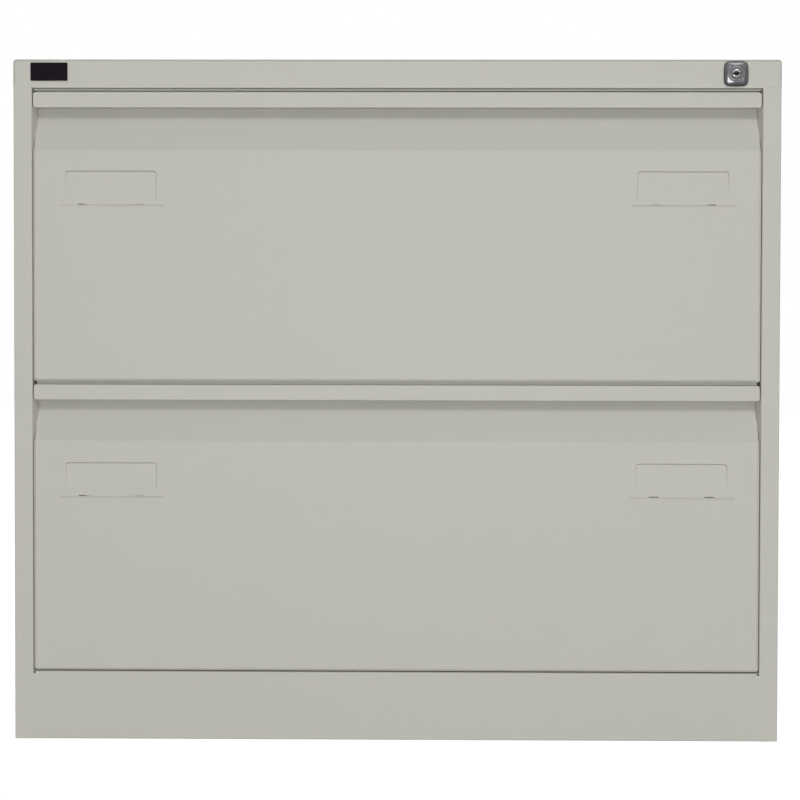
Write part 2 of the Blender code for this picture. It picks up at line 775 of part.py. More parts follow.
def guide_forms():
    """The plastic guides on the side panel: an open one, and a closed one that the bar stands in."""
    low_x = BAR_SIDE - BAR_TRAVEL - CLEARANCE
    high_x = BAR_SIDE + BAR_WIDTH + CLEARANCE
    low_y = BAR_SETBACK - CLEARANCE
    high_y = BAR_SETBACK + BAR_THICKNESS + CLEARANCE
    eye = rectangle(low_x, low_y, high_x, high_y)
    shell = rectangle(low_x - GUIDE_WALL, low_y - GUIDE_WALL, WALL, high_y + GUIDE_WALL)
    guide = prism([shell, eye], 0, GUIDE_HEIGHT, "xy")
    cup = prism([shell], -GUIDE_WALL, GUIDE_HEIGHT, "xy")
    hollow = prism([eye], 0, GUIDE_HEIGHT + GUIDE_WALL, "xy")
    return guide, baked(cup, cuts=[hollow])


def make_lock(finishes):
    """Lock in the top rail; turning the plug moves a bar whose tabs block both drawers."""
    centre = (LOCK_X, FRONT, LOCK_Z)
    place("lock_escutcheon", escutcheon_form(), finishes["die_cast"], at=centre)

    bore = PLUG_RADIUS + CLEARANCE
    face = BARREL_RECESS - LOCK_PROUD
    end = CAM_SETBACK - CLEARANCE
    profile = [(bore, face), (BARREL_RADIUS, face), (BARREL_RADIUS, end), (bore, end)]
    barrel = turned(profile, FINE_SEGMENTS, "Y")
    place("lock_barrel", barrel, finishes["die_cast"], at=centre)

    corner = NUT_ACROSS_FLATS / math.sqrt(3)
    hexagon = arc((0, 0), corner, 0, 300, 5)
    hole = 2 * (BARREL_RADIUS + CLEARANCE)
    thread = superellipse(hole, hole, 2, MEDIUM_SEGMENTS)
    nut_face = SHEET + CLEARANCE
    nut = prism([hexagon, thread], nut_face, nut_face + NUT_THICKNESS, "xz")
    place("lock_nut", nut, finishes["zinc"], at=centre)

    turning = joint_frame("lock_turn_axis", centre)
    place("lock_plug", plug_form(), finishes["chrome"], turning)
    place("lock_cam", cam_form(), finishes["zinc"], turning)

    shifting = joint_frame("lock_bar_axis", centre)
    place("lock_bar", bar_form(), finishes["zinc"], shifting)

    guide, cup = guide_forms()
    seat = LOWER + BAR_FOOT - CLEARANCE
    place("upper_lock_bar_guide", guide, finishes["plastic"], at=(0, FRONT, UPPER + GUIDE_RISE))
    place("lower_lock_bar_guide", cup, finishes["plastic"], at=(0, FRONT, seat))


def rectangle(low_u, low_v, high_u, high_v):
    return [(low_u, low_v), (high_u, low_v), (high_u, high_v), (low_u, high_v)]


def channel(reach, half, back, lip=0.0):
    """Section of a slide member that opens towards the drawer, with optional turned-in lips."""
    path = [(-reach, half), (-back, half), (-back, -half), (-reach, -half)]
    if lip:
        path = [(-reach, half - lip)] + path + [(-reach, lip - half)]
    return path


def cage_form(reach, half, back, ball_reach, start):
    """A ball cage: a thin channel with two rows of balls held in its arms."""
    path = channel(reach, half + CAGE_SHEET / 2, back)
    strip = mesh_from(folded(path, (start, start + CAGE_LENGTH), "xz"))
    balls = bmesh.new()
    pitch = (CAGE_LENGTH - 2 * CAGE_END_MARGIN) / (BALLS_IN_ROW - 1)
    for row in (-half, half):
        for number in range(BALLS_IN_ROW):
            spot = Matrix.Translation((-ball_reach, start + CAGE_END_MARGIN + number * pitch, row))
            bmesh.ops.create_uvsphere(
                balls, u_segments=BALL_SIDES, v_segments=BALL_RINGS, radius=BALL / 2, matrix=spot
            )
    return baked(strip, CAGE_SHEET, joined=[mesh_from(balls)])


def slide_forms():
    """The right-hand slide's members, from the outer member's back at x = 0 inwards."""
    start = SLIDE_SETBACK
    end = start + SLIDE_LENGTH
    moving_end = end - BUFFER_LENGTH - 2 * CLEARANCE
    hooks = []
    for upright in (FRONT_UPRIGHT, REAR_UPRIGHT):
        middle = upright + UPRIGHT_WIDTH / 2
        low = (-SLIDE_SHEET / 2, middle - HOOK_THICKNESS / 2, -HOOK_HEIGHT / 2)
        high = (HOOK_REACH, middle + HOOK_THICKNESS / 2, HOOK_HEIGHT / 2)
        hooks.append(block(low, high))
    outer_path = channel(OUTER_REACH, OUTER_HALF, 0, OUTER_LIP)
    inner_tip = SLIDE_THICKNESS - INNER_FLANGE
    inner_path = [
        (-inner_tip, -INNER_HALF),
        (-SLIDE_THICKNESS, -INNER_HALF),
        (-SLIDE_THICKNESS, INNER_HALF),
        (-inner_tip, INNER_HALF),
    ]
    middle_path = channel(MIDDLE_REACH, MIDDLE_HALF, MIDDLE_BACK)
    outer_sheet = mesh_from(folded(outer_path, (start, end), "xz"))
    cage_start = start + CAGE_START
    return {
        "outer": baked(outer_sheet, SLIDE_SHEET, joined=[together(*hooks)]),
        "middle": baked(mesh_from(folded(middle_path, (start, moving_end), "xz")), MIDDLE_SHEET),
        "inner": baked(mesh_from(folded(inner_path, (start, moving_end), "xz")), SLIDE_SHEET),
        "outer_cage": cage_form(
            CAGE_REACH, MIDDLE_HALF + RACE / 2, OUTER_CAGE_BACK, OUTER_BALL_REACH, cage_start
        ),
        "inner_cage": cage_form(
            INNER_CAGE_REACH, INNER_HALF + RACE / 2, INNER_CAGE_BACK, INNER_BALL_REACH, cage_start
        ),
        "buffer": block(
            (-BUFFER_THICKNESS, end - BUFFER_LENGTH, -BUFFER_HEIGHT / 2),
            (-SLIDE_SHEET - CLEARANCE, end, BUFFER_HEIGHT / 2),
        ),
    }


def pocket_forms():
    """What presses the two label pockets: backing to add behind the sheet, then the hollow to cut."""
    top = DRAWER_FRONT - POCKET_DROP
    bottom = top - POCKET_RUN
    core = SHEET / 2
    behind = POCKET_DEPTH + SHEET
    run_out = top - POCKET_RUN * (behind - core) / POCKET_DEPTH
    backing = [(core, top + SHEET), (core, run_out), (behind, top), (behind, top + SHEET)]
    hollow = [(-SCORE, top), (-SCORE, bottom), (0, bottom), (POCKET_DEPTH, top)]
    slot_middle = DRAWER_FRONT - CARD_SLOT_DROP
    low = slot_middle - CARD_SLOT_HEIGHT / 2
    high = slot_middle + CARD_SLOT_HEIGHT / 2
    raised = low + CARD_TAB_HEIGHT
    backings, hollows = [], []
    for side in (-1, 1):
        middle = side * (WIDTH / 2 - POCKET_INSET)
        start = middle - POCKET_WIDTH / 2
        end = middle + POCKET_WIDTH / 2
        backings.append(prism([backing], start - SHEET, end + SHEET, "yz"))
        hollows.append(prism([hollow], start, end, "yz"))
        slot = [(middle - CARD_SLOT_WIDTH / 2, low), (middle + CARD_SLOT_WIDTH / 2, low)]
        slot.append((middle + CARD_SLOT_WIDTH / 2, high))
        for tab in (middle + CARD_TAB_OFFSET, middle - CARD_TAB_OFFSET):
            slot += [(tab + CARD_TAB_WIDTH / 2, high), (tab + CARD_TAB_WIDTH / 2, raised)]
            slot += [(tab - CARD_TAB_WIDTH / 2, raised), (tab - CARD_TAB_WIDTH / 2, high)]
        slot.append((middle - CARD_SLOT_WIDTH / 2, high))
        hollows.append(prism([slot], -SCORE, SCORE, "xz"))
    return together(*backings), together(*hollows)


def skin_form():
    """Drawer front: closed at its ends, leaning back under a grip that is folded over along the top."""
    lean = DRAWER_FRONT - GRIP_HEIGHT - LEAN_HEIGHT
    grip_low = DRAWER_FRONT - GRIP_HEIGHT
    under_top = DRAWER_FRONT - SHEET
    path = rounded(
        [
            (SKIN_RETURN, 0),
            (0, 0),
            (0, lean),
            (GRIP_REACH, grip_low),
            (GRIP_REACH, under_top),
            (SHEET, under_top),
            (SHEET, grip_low + SHEET),
            (SHEET + GRIP_HEM, grip_low + SHEET),
        ],
        BEND,
    )
    bm = folded(path, (-FRONT_HALF, FRONT_HALF), "yz")
    last = max(index for index, point in enumerate(path) if near(point.x, GRIP_REACH))
    for end in (-FRONT_HALF, FRONT_HALF):
        loop = [nearest_vert(bm, Vector((end, point.x, point.y))) for point in path[:last + 1]]
        loop.append(bm.verts.new((end, SKIN_RETURN, path[last].y)))
        bm.faces.new(loop)
    face_outwards(bm, Vector((0, 0, lean / 2)), Vector((0, -1, 0)))
    backing, hollow = pocket_forms()
    return baked(mesh_from(bm), SHEET, joined=[backing], cuts=[hollow])


def nearest_vert(bm, spot):
    return min(bm.verts, key=lambda vert: (vert.co - spot).length)


def liner_form():
    """The pan that closes the back of the drawer front, flanged forward into it."""
    half = FRONT_HALF - SHEET - CLEARANCE
    back = LINER_SETBACK + SHEET
    bottom = SHEET + CLEARANCE
    lean = DRAWER_FRONT - GRIP_HEIGHT - LEAN_HEIGHT
    path = [(-half, back), (SCORE - half, back), (half - SCORE, back), (half, back)]
    bm = folded(path, (bottom, bottom + SCORE, lean - SCORE, DRAWER_FRONT), "xy")

    def side_edge(co):
        return near(abs(co.x), half) and bottom + SHEET < co.z < lean

    def bottom_edge(co):
        return near(co.z, bottom) and abs(co.x) < half - SHEET

    def top_edge(co):
        return near(co.z, DRAWER_FRONT) and abs(co.x) < half - SHEET

    flange(bm, side_edge, (0, -LINER_FLANGE, 0))
    flange(bm, bottom_edge, (0, -LINER_FLANGE, 0))
    flange(bm, top_edge, (0, GRIP_REACH + SHEET + CLEARANCE - back, 0))
    face_outwards(bm, Vector((0, back, DRAWER_FRONT / 2)), Vector((0, 1, 0)))
    return baked(mesh_from(bm), SHEET)


def tray_form():
    """Floor and sides from one sheet, the sides' tops folded in as rails for the hanging files."""
    edge = TRAY - RAIL_FOLD
    right = [(edge, FILE_RAIL - RAIL_LIP), (edge, FILE_RAIL), (TRAY, FILE_RAIL), (TRAY, TRAY_FLOOR)]
    left = [(-x, z) for x, z in reversed(right)]
    path = rounded(right + left, BEND)
    return baked(mesh_from(folded(path, (TRAY_START, TRAY_END), "xz")), SHEET)


def drawer_back_form():
    half = TRAY - SHEET - CLEARANCE
    rear = TRAY_END - SCORE
    path = [(-half, rear - BACK_FLANGE), (-half, rear), (half, rear), (half, rear - BACK_FLANGE)]
    bottom = TRAY_FLOOR + SHEET + CLEARANCE
    top = FILE_RAIL - RAIL_LIP - CLEARANCE
    return baked(mesh_from(folded(rounded(path, BEND), (bottom, top), "xy")), SHEET)


def centre_rail_form():
    """Inverted channel down the middle: the inner hanging rail of both rows of files."""
    half = CENTRE_RAIL_WIDTH / 2
    low = FILE_RAIL - CENTRE_RAIL_HEIGHT
    path = [(-half, low), (-half, FILE_RAIL), (half, FILE_RAIL), (half, low)]
    end = TRAY_END - SCORE - SHEET - CLEARANCE
    return baked(mesh_from(folded(rounded(path, BEND), (TRAY_START, end), "xz")), SHEET)


def catch_form():
    """Angle bracket on the drawer's right side, which a tab of the lock bar holds."""
    side = TRAY + CLEARANCE
    front = BAR_SETBACK + BAR_THICKNESS + CAM_GAP
    path = [(side + CATCH_REACH, front), (side, front), (side, front + CATCH_LENGTH)]
    bottom = TAB_RISE + CATCH_INSET
    top = TAB_RISE + TAB_HEIGHT - CATCH_INSET
    return baked(mesh_from(folded(path, (bottom, top), "xy")), CATCH_SHEET)


def make_drawers(finishes):
    """Both drawers and their slides, from the same forms at two heights."""
    pieces = {
        "front_skin": (skin_form(), "paint"),
        "front_liner": (liner_form(), "paint"),
        "tray": (tray_form(), "paint"),
        "back": (drawer_back_form(), "paint"),
        "centre_rail": (centre_rail_form(), "zinc"),
        "catch_plate": (catch_form(), "zinc"),
    }
    right = slide_forms()
    hands = (("left", -1, {part: mirrored(mesh) for part, mesh in right.items()}), ("right", 1, right))
    for name, bottom in (("upper", UPPER), ("lower", LOWER)):
        drawer = joint_frame(f"{name}_drawer_axis", (0, FRONT, bottom))
        for piece, (mesh, look) in pieces.items():
            place(f"{name}_drawer_{piece}", mesh, finishes[look], drawer)
        for hand, sign, members in hands:
            centre = (sign * SLIDE, FRONT, bottom + SLIDE_CENTRE)
            stem = f"{name}_{hand}_slide"
            place(f"{stem}_outer", members["outer"], finishes["zinc"], at=centre)
            place(f"{stem}_buffer", members["buffer"], finishes["rubber"], at=centre)
            beside = (sign * SLIDE, 0, SLIDE_CENTRE)
            place(f"{stem}_inner", members["inner"], finishes["zinc"], drawer, beside)
            for part in ("middle", "outer_cage", "inner_cage"):
                axis = joint_frame(f"{stem}_{part}_axis", centre)
                place(f"{stem}_{part}", members[part], finishes["zinc"], axis)


def main():
    clear_scene()
    bpy.context.scene.collection.children.link(OBJECT)
    bpy.context.scene.collection.children.link(CUTTERS)
    finishes = make_finishes()
    make_side_panels(finishes)
    make_top_panel(finishes)
    make_back_panel(finishes)
    make_plinth(finishes)
    make_base(finishes)
    make_uprights(finishes)
    make_badge(finishes)
    make_lock(finishes)
    make_drawers(finishes)


main()
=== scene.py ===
"""Looks of the two-drawer suspension file cabinet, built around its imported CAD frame."""
import json
import math

import bmesh
import bpy
from mathutils import Matrix, Vector


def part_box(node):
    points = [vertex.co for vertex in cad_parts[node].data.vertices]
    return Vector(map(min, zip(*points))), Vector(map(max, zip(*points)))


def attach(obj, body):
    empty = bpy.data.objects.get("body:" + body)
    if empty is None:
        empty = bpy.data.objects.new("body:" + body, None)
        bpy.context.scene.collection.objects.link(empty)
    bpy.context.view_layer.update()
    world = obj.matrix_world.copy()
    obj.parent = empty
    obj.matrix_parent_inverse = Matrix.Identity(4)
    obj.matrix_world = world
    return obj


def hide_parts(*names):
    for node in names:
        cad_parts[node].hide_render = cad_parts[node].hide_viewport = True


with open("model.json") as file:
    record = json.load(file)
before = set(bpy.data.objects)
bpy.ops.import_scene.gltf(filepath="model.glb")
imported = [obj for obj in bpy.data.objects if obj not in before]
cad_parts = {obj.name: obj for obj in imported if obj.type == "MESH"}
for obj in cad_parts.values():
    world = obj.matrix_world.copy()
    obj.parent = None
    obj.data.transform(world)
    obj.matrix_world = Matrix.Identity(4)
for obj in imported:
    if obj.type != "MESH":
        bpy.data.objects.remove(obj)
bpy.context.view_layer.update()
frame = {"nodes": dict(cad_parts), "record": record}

bl_info = {
    "name": "Suspension File Cabinet",
    "version": (1, 0, 0),
    "blender": (4, 5, 0),
    "location": "3D View > Sidebar > Cabinet",
    "description": "Builds the visible pieces of a two-drawer suspension file cabinet",
    "category": "Add Mesh",
}

# All lengths are in metres, and roundings are given as (radius, steps) where they set both.

# Places read from the frame
SIDE_LOW, SIDE_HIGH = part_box("right_side_panel")
PLINTH_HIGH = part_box("plinth_panel")[1]
TOP_LOW, TOP_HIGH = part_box("top_panel")
FRONT = SIDE_LOW.y
OPENING = SIDE_LOW.x
SIDE = SIDE_HIGH.x
DRAWERS = {
    "upper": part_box("upper_drawer_front_skin"),
    "lower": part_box("lower_drawer_front_skin"),
}
PLUG_LOW, PLUG_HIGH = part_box("lock_plug")
PLUG_RADIUS = (PLUG_HIGH.x - PLUG_LOW.x) / 2
LOCK_X = (PLUG_LOW.x + PLUG_HIGH.x) / 2
LOCK_Z = (PLUG_LOW.z + PLUG_HIGH.z) / 2
BARREL_LOW, BARREL_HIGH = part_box("lock_barrel")

# Selecting and shading
TINY = 0.00004
AREA_SLACK = 0.01
NEARLY_ALL = 0.99
FOLD_ANGLE = math.radians(12)
FLAT_ANGLE = math.radians(0.1)
SMOOTH_ANGLE = math.radians(32)
FLAT_WEIGHT = 80

# Folded shell
RETURN = 0.015
SILL_LIP = 0.012
FOLD_STEPS = 4
FLOOR_GAP = 0.0001
SEAM_RISE = 0.0013

# Top panel: its edges, the lock's bore, the lock bar's notch, the skirt's ends and the rail's lip
TOP_STEPS = 6
BORE_RADIUS = 0.0091
CUT_REACH = 0.003
NOTCH_WIDTH = 0.0180
NOTCH_GAP = 0.0004
NOTCH_RISE = 0.002
CUT_OVER = 0.001
END_HALF = 0.0102
END_OVER = 0.01
SEAM_GAP = 0.0002
RAIL_LIP = 0.0018
RAIL_LIP_DEPTH = 0.0095
RAIL_LIP_GAP = 0.0004
RAIL_LIP_LAP = 0.0005

# Drawer front, counted from its lower edge and from the front plane
LEAN_START = 0.239
GRIP_START = 0.2839
GRIP_DROPS = {"upper": 0.0006, "lower": 0.0017}
POCKET_LIFTS = {"upper": 0.0009, "lower": 0.0}
FACE_CORNER = (0.0030, 6)
FACE_FOLD = 0.0010
FACE_BORDER = 0.0022
FACE_SPOT = 0.02
SKIN_RETURN = 0.0212
RIM_DEPTH = 0.0042
RIM_STEP = 0.0018
RIM_DROP = 0.0017
GRIP_REACH = 0.017
GRIP_TURN = 0.003
GRIP_OVERHANG = 0.0012
GRIP_CORNER = (0.0026, 5)
GRIP_FOLD = 0.0007
DRAUGHT_LIP = 0.0014
LIP_DEPTH = 0.0130
CHEEK_START = 0.0024
CHEEK_INSET = 0.0016
CHEEK_RUN = 0.0080

# Label pockets, each with a groove and two slits below it
POCKET_OFFSET = 0.298
POCKET_WIDTH = 0.0953
POCKET_TOP = 0.2169
POCKET_RUN = 0.0300
POCKET_DEPTH = 0.0024
POCKET_WALL = 0.0011
POCKET_CORNER = (0.0032, 5)
POCKET_RIM = (0.0003, 2)
RIM_SHARE = 0.75
GROOVE_MIDDLE = 0.1806
GROOVE_WIDTH = 0.108
GROOVE_HEIGHT = 0.0016
GROOVE_WALL = GROOVE_HEIGHT / 4
GROOVE_DEPTH = 0.0007
SLIT_OFFSET = 0.029
SLIT_WIDTH = 0.0102
SLIT_HEIGHT = 0.0007
SLIT_WALL = SLIT_HEIGHT / 10
SLIT_DEPTH = 0.0013
SLIT_RISE = 0.0002

# Lock: turned profiles are (change of radius, depth behind the face), from an inner and an
# outer radius; the collar's steps are (share of the way in, share of the rise, roundness)
LOCK_LIP = 0.0012
TURNED_STEPS = 64
BARREL_GAP = 0.0003
BARREL_MOUTH = ((0.0, 0.0004), (0.0003, 0.0), (0.0008, 0.0), (0.0011, 0.0004))
BARREL_EDGE = (
    (-0.0019, 0.0004), (-0.0016, 0.0), (-0.0011, 0.0001),
    (-0.0009, 0.0018), (-0.0002, 0.0018), (0.0, 0.0018),
)
KEYHOLE = 0.0026
PLUG_MOUTH = ((0.0, 0.0030), (0.0, 0.0006), (0.0002, 0.0003), (0.0007, 0.0))
PLUG_EDGE = ((-0.0008, 0.0001), (-0.0002, 0.0005), (0.0, 0.0009))
KEYWAY_WIDTH = 0.0088
KEYWAY_HEIGHT = 0.0020
KEYWAY_DEPTH = 0.009
SHUTTER_GAP = 0.00005
SHUTTER_START = 0.0012
SHUTTER_END = 0.0028
SHUTTER_BAR_END = 0.008
SURROUND_CORNER = (0.0052, 6)
SURROUND_CUTS = 7
SURROUND_SWELL = 0.16
MOUTH_GAP = 0.0005
MOUTH_SLACK = 0.0002
COLLAR_STEPS = (
    (0.04, 0.22, 0.0), (0.14, 0.44, 0.03), (0.34, 0.66, 0.08),
    (0.60, 0.84, 0.2), (0.86, 0.96, 0.5), (1.0, 1.0, 1.0),
)

# Badge
BADGE_CORNER = (0.0011, 4)
BADGE_EDGE = (0.0004, 3)

# Stage: each lamp has its place, its side, and its share of one of the stage's powers
WHITE = (1, 1, 1, 1)
FLOOR_SIDE = 30
FLOOR_ROUGHNESS = 0.9
FLOOR_GLOW = 1.22
GLOW_SHARE = 0.76
LAMP_TARGET = (0, 0, 0.35)
LAMPS = (
    ("key", (2.4, -12.1, 10.2), 3.6, "key", 1.0),
    ("fill", (0.12, -5.5, 0.41), 0.8, "key", 0.205),
    ("left_back", (-6.0, 5.0, 4.0), 3.0, "back", 1.0),
    ("right_back", (6.0, 5.0, 4.0), 3.0, "back", 1.0),
)
CAMERA_PLACE = (0.0344, -2.6084, 0.4252)
CAMERA_PITCH = 0.02975
CAMERA_ROLL = 0.00208
CAMERA_YAW = 0.01321
FOCAL_PIXELS = 2204.7
IMAGE_SIDE = 800
SENSOR = 36.0


# ---------------------------------------------------------------- modelling


def ready():
    """Object mode, with nothing selected."""
    if bpy.context.mode != "OBJECT":
        bpy.ops.object.mode_set(mode="OBJECT")
    bpy.ops.object.select_all(action="DESELECT")


def make_active(piece):
    ready()
    piece.select_set(True)
    bpy.context.view_layer.objects.active = piece


def named(name):
    """Names the primitive that was just added, and puts its place in its mesh."""
    piece = bpy.context.object
    piece.name = name
    piece.data.name = name
    bpy.ops.object.transform_apply(location=True, rotation=True, scale=True)
    return piece


def box_between(name, low, high):
    ready()
    low, high = Vector(low), Vector(high)
    bpy.ops.mesh.primitive_cube_add(size=1, location=(low + high) / 2, scale=high - low)
    return named(name)


def plane_between(name, corner, along, across):
    """A plane from a corner along two square sides; its face looks to along x across."""
    ready()
    corner, along, across = Vector(corner), Vector(along), Vector(across)
    bpy.ops.mesh.primitive_plane_add(size=1)
    normal = along.cross(across).normalized()
    turn = Matrix((along, across, normal)).transposed().to_4x4()
    turn.translation = corner + (along + across) / 2
    bpy.context.object.matrix_world = turn
    return named(name)


def front_plane(name, left, low, width, height):
    """A plane that lies in the cabinet's front plane and looks forward."""
    return plane_between(name, (left, FRONT, low), (width, 0, 0), (0, 0, height))


def edit(piece):
    make_active(piece)
    bpy.ops.object.mode_set(mode="EDIT")
    bpy.ops.mesh.select_all(action="DESELECT")


def leave():
    bpy.ops.object.mode_set(mode="OBJECT")


def pick(kind, test):
    """In edit mode, selects exactly the verts, edges or faces that pass the test."""
    modes = tuple(kind == each for each in ("verts", "edges", "faces"))
    bpy.context.tool_settings.mesh_select_mode = modes
    bpy.ops.mesh.select_all(action="DESELECT")
    mesh = bpy.context.object.data
    bm = bmesh.from_edit_mesh(mesh)
    bm.normal_update()
    found = [item for item in getattr(bm, kind) if test(item)]
    if not found:
        raise RuntimeError(f"{mesh.name}: no {kind} to select")
    for item in found:
        item.select_set(True)
    bmesh.update_edit_mesh(mesh)


def same(value, target, slack=TINY):
    return abs(value - target) < slack


def at(axis, value, inside=None, above=None):
    """A test for edges and faces on a plane, with their middle within |x| and above z if given."""

    def test(item):
        middle = sum((vert.co for vert in item.verts), Vector()) / len(item.verts)
        if inside is not None and abs(middle.x) > inside:
            return False
        if above is not None and middle.z < above:
            return False
        return all(same(getattr(vert.co, axis), value) for vert in item.verts)

    return test


def both(*tests):
    return lambda item: all(test(item) for test in tests)


def either(*tests):
    return lambda item: any(test(item) for test in tests)


def everything(item):
    return True


def free_edge(edge):
    return edge.is_boundary


def run_along(edge, axis):
    """How far an edge runs along an axis."""
    return abs(getattr(edge.verts[0].co, axis) - getattr(edge.verts[1].co, axis))


def folded_edge(edge):
    return len(edge.link_faces) == 2 and edge.calc_face_angle(0) > FOLD_ANGLE


def panel(width, height, level):
    """A test for a face in the front plane by its width, its height and its middle's level."""

    def test(face):
        middle = face.calc_center_bounds()
        area = width * height
        in_place = same(middle.y, FRONT) and same(middle.z, level)
        return in_place and same(face.calc_area(), area, area * AREA_SLACK)

    return test


def extrude_edges(test, *moves):
    """Draws chosen edges out into new faces, once for each move."""
    pick("edges", test)
    for move in moves:
        bpy.ops.mesh.extrude_edges_move(TRANSFORM_OT_translate={"value": move})


def round_edges(test, radius, steps=FOLD_STEPS):
    pick("edges", test)
    bpy.ops.mesh.bevel(offset=radius, segments=steps, profile=0.5, affect="EDGES")


def round_corners(test, radius, steps):
    """Rounds the corners of a flat face in its own plane."""
    pick("verts", test)
    bpy.ops.mesh.bevel(offset=radius, segments=steps, profile=0.5, affect="VERTICES")


def sink(test, wall, depth):
    """Insets chosen faces by a wall and moves them back."""
    pick("faces", test)
    bpy.ops.mesh.inset(thickness=wall, use_even_offset=True)
    bpy.ops.transform.translate(value=(0, depth, 0))


def remove_faces(test):
    pick("faces", test)
    bpy.ops.mesh.delete(type="FACE")


def make_consistent():
    bpy.ops.mesh.select_all(action="SELECT")
    bpy.ops.mesh.normals_make_consistent(inside=False)


def face_outwards(spot, outward):
    """Makes all faces agree with the one nearest to a spot, which is to look outward."""
    make_consistent()
    bm = bmesh.from_edit_mesh(bpy.context.object.data)
    nearest = min(bm.faces, key=lambda face: (face.calc_center_median() - Vector(spot)).length)
    if nearest.normal.dot(Vector(outward)) < 0:
        bpy.ops.mesh.flip_normals()


def selected_places():
    """The places of the selected points, in edit mode."""
    bm = bmesh.from_edit_mesh(bpy.context.object.data)
    return [vert.co for vert in bm.verts if vert.select]


def fit(width, height, centre):
    """Resizes the selection to a width and a height about a centre."""
    places = selected_places()
    wide = max(place.x for place in places) - min(place.x for place in places)
    high = max(place.z for place in places) - min(place.z for place in places)
    bpy.ops.transform.resize(value=(width / wide, 1, height / high), center_override=centre)


def join(piece, *others):
    make_active(piece)
    for other in others:
        other.select_set(True)
    bpy.ops.object.join()
    return piece


def modify(piece, kind, **settings):
    """Adds a modifier and applies it."""
    make_active(piece)
    bpy.ops.object.modifier_add(type=kind)
    step = piece.modifiers[-1]
    for name, value in settings.items():
        setattr(step, name, value)
    bpy.ops.object.modifier_apply(modifier=step.name)


def give_gauge(piece, even=True):
    """Thickens a sheet inwards; even=False keeps slim triangles of a flat face from spiking."""
    modify(
        piece, "SOLIDIFY", thickness=sizes().gauge, offset=-1,
        use_even_offset=even, use_quality_normals=True,
    )


def cut(piece, *tools):
    tool = join(*tools) if len(tools) > 1 else tools[0]
    modify(piece, "BOOLEAN", operation="DIFFERENCE", solver="EXACT", object=tool)
    bpy.data.objects.remove(tool)


def smooth(piece):
    """Smooth bends beside flat faces that stay flat."""
    make_active(piece)
    bpy.ops.object.shade_smooth_by_angle(angle=SMOOTH_ANGLE)
    modify(piece, "WEIGHTED_NORMAL", keep_sharp=True, weight=FLAT_WEIGHT)


def mirrored(piece):
    """A copy with its own mesh on the other side of the cabinet."""
    make_active(piece)
    bpy.ops.object.duplicate()
    other = bpy.context.object
    other.scale.x = -1
    bpy.ops.object.transform_apply(location=True, rotation=True, scale=True)
    edit(other)
    make_consistent()
    leave()
    return other


def lathe(name, profile, closed=True):
    """A form turned about the lock's axis, drawn from ring to ring of (radius, depth) pairs."""
    ready()
    radius, depth = profile[0]
    bpy.ops.mesh.primitive_circle_add(
        vertices=TURNED_STEPS, radius=radius, fill_type="NOTHING",
        location=(LOCK_X, FRONT + depth, LOCK_Z), rotation=(math.pi / 2, 0, 0),
    )
    piece = named(name)
    edit(piece)
    bpy.ops.mesh.select_all(action="SELECT")
    if closed:
        bpy.ops.mesh.edge_face_add()
        bpy.ops.mesh.select_all(action="SELECT")
    for next_radius, next_depth in profile[1:]:
        move = (0, next_depth - depth, 0)
        bpy.ops.mesh.extrude_region_move(TRANSFORM_OT_translate={"value": move})
        factor = next_radius / radius
        centre = (LOCK_X, FRONT + next_depth, LOCK_Z)
        bpy.ops.transform.resize(value=(factor, 1, factor), center_override=centre)
        radius, depth = next_radius, next_depth
    make_consistent()
    leave()
    return piece


def profile_of(radius, face, steps):
    """Places (change of radius, depth) steps at a radius and behind a face."""
    return [(radius + change, face + depth) for change, depth in steps]


def dress(piece, finish, body, slot, *nodes):
    """Gives a finished piece its finish and body, and hides the CAD nodes it stands for."""
    ready()
    piece.data.materials.clear()
    piece.data.materials.append(finish)
    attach(piece, body)
    if nodes:
        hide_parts(*nodes)


# ---------------------------------------------------------------- finishes
# A noise's scale is in repeats per metre. The number beside a pattern is its share of the tint,
# the roughness or the bump, and a bump's distance is in metres.


class Wire:
    """An output socket that arithmetic is written on; each operation adds its Math node."""

    def __init__(self, tree, node, output):
        self.tree = tree
        self.node = node
        self.output = output

    def math(self, operation, first, second):
        return self.tree.node("ShaderNodeMath", {"operation": operation}, {0: first, 1: second})

    def __add__(self, other):
        return self.math("ADD", self, other)

    def __radd__(self, other):
        return self.math("ADD", other, self)

    def __sub__(self, other):
        return self.math("SUBTRACT", self, other)

    def __rsub__(self, other):
        return self.math("SUBTRACT", other, self)

    def __mul__(self, other):
        return self.math("MULTIPLY", self, other)

    def __rmul__(self, other):
        return self.math("MULTIPLY", other, self)


class ShaderTree:
    """The nodes of a material or a world, which all come from one method."""

    def __init__(self, owner):
        owner.use_nodes = True
        self.nodes = owner.node_tree.nodes
        self.links = owner.node_tree.links
        self.nodes.clear()

    def feed(self, node, sockets):
        """Sets a node's sockets to values, or links wires to them."""
        for name, value in sockets.items():
            if isinstance(value, Wire):
                self.links.new(value.node.outputs[value.output], node.inputs[name])
            else:
                node.inputs[name].default_value = value

    def node(self, kind, settings=None, sockets=None, output=0):
        """Adds a node: first its settings, then its sockets' values or links."""
        made = self.nodes.new(kind)
        for name, value in (settings or {}).items():
            setattr(made, name, value)
        self.feed(made, sockets or {})
        return Wire(self, made, output)


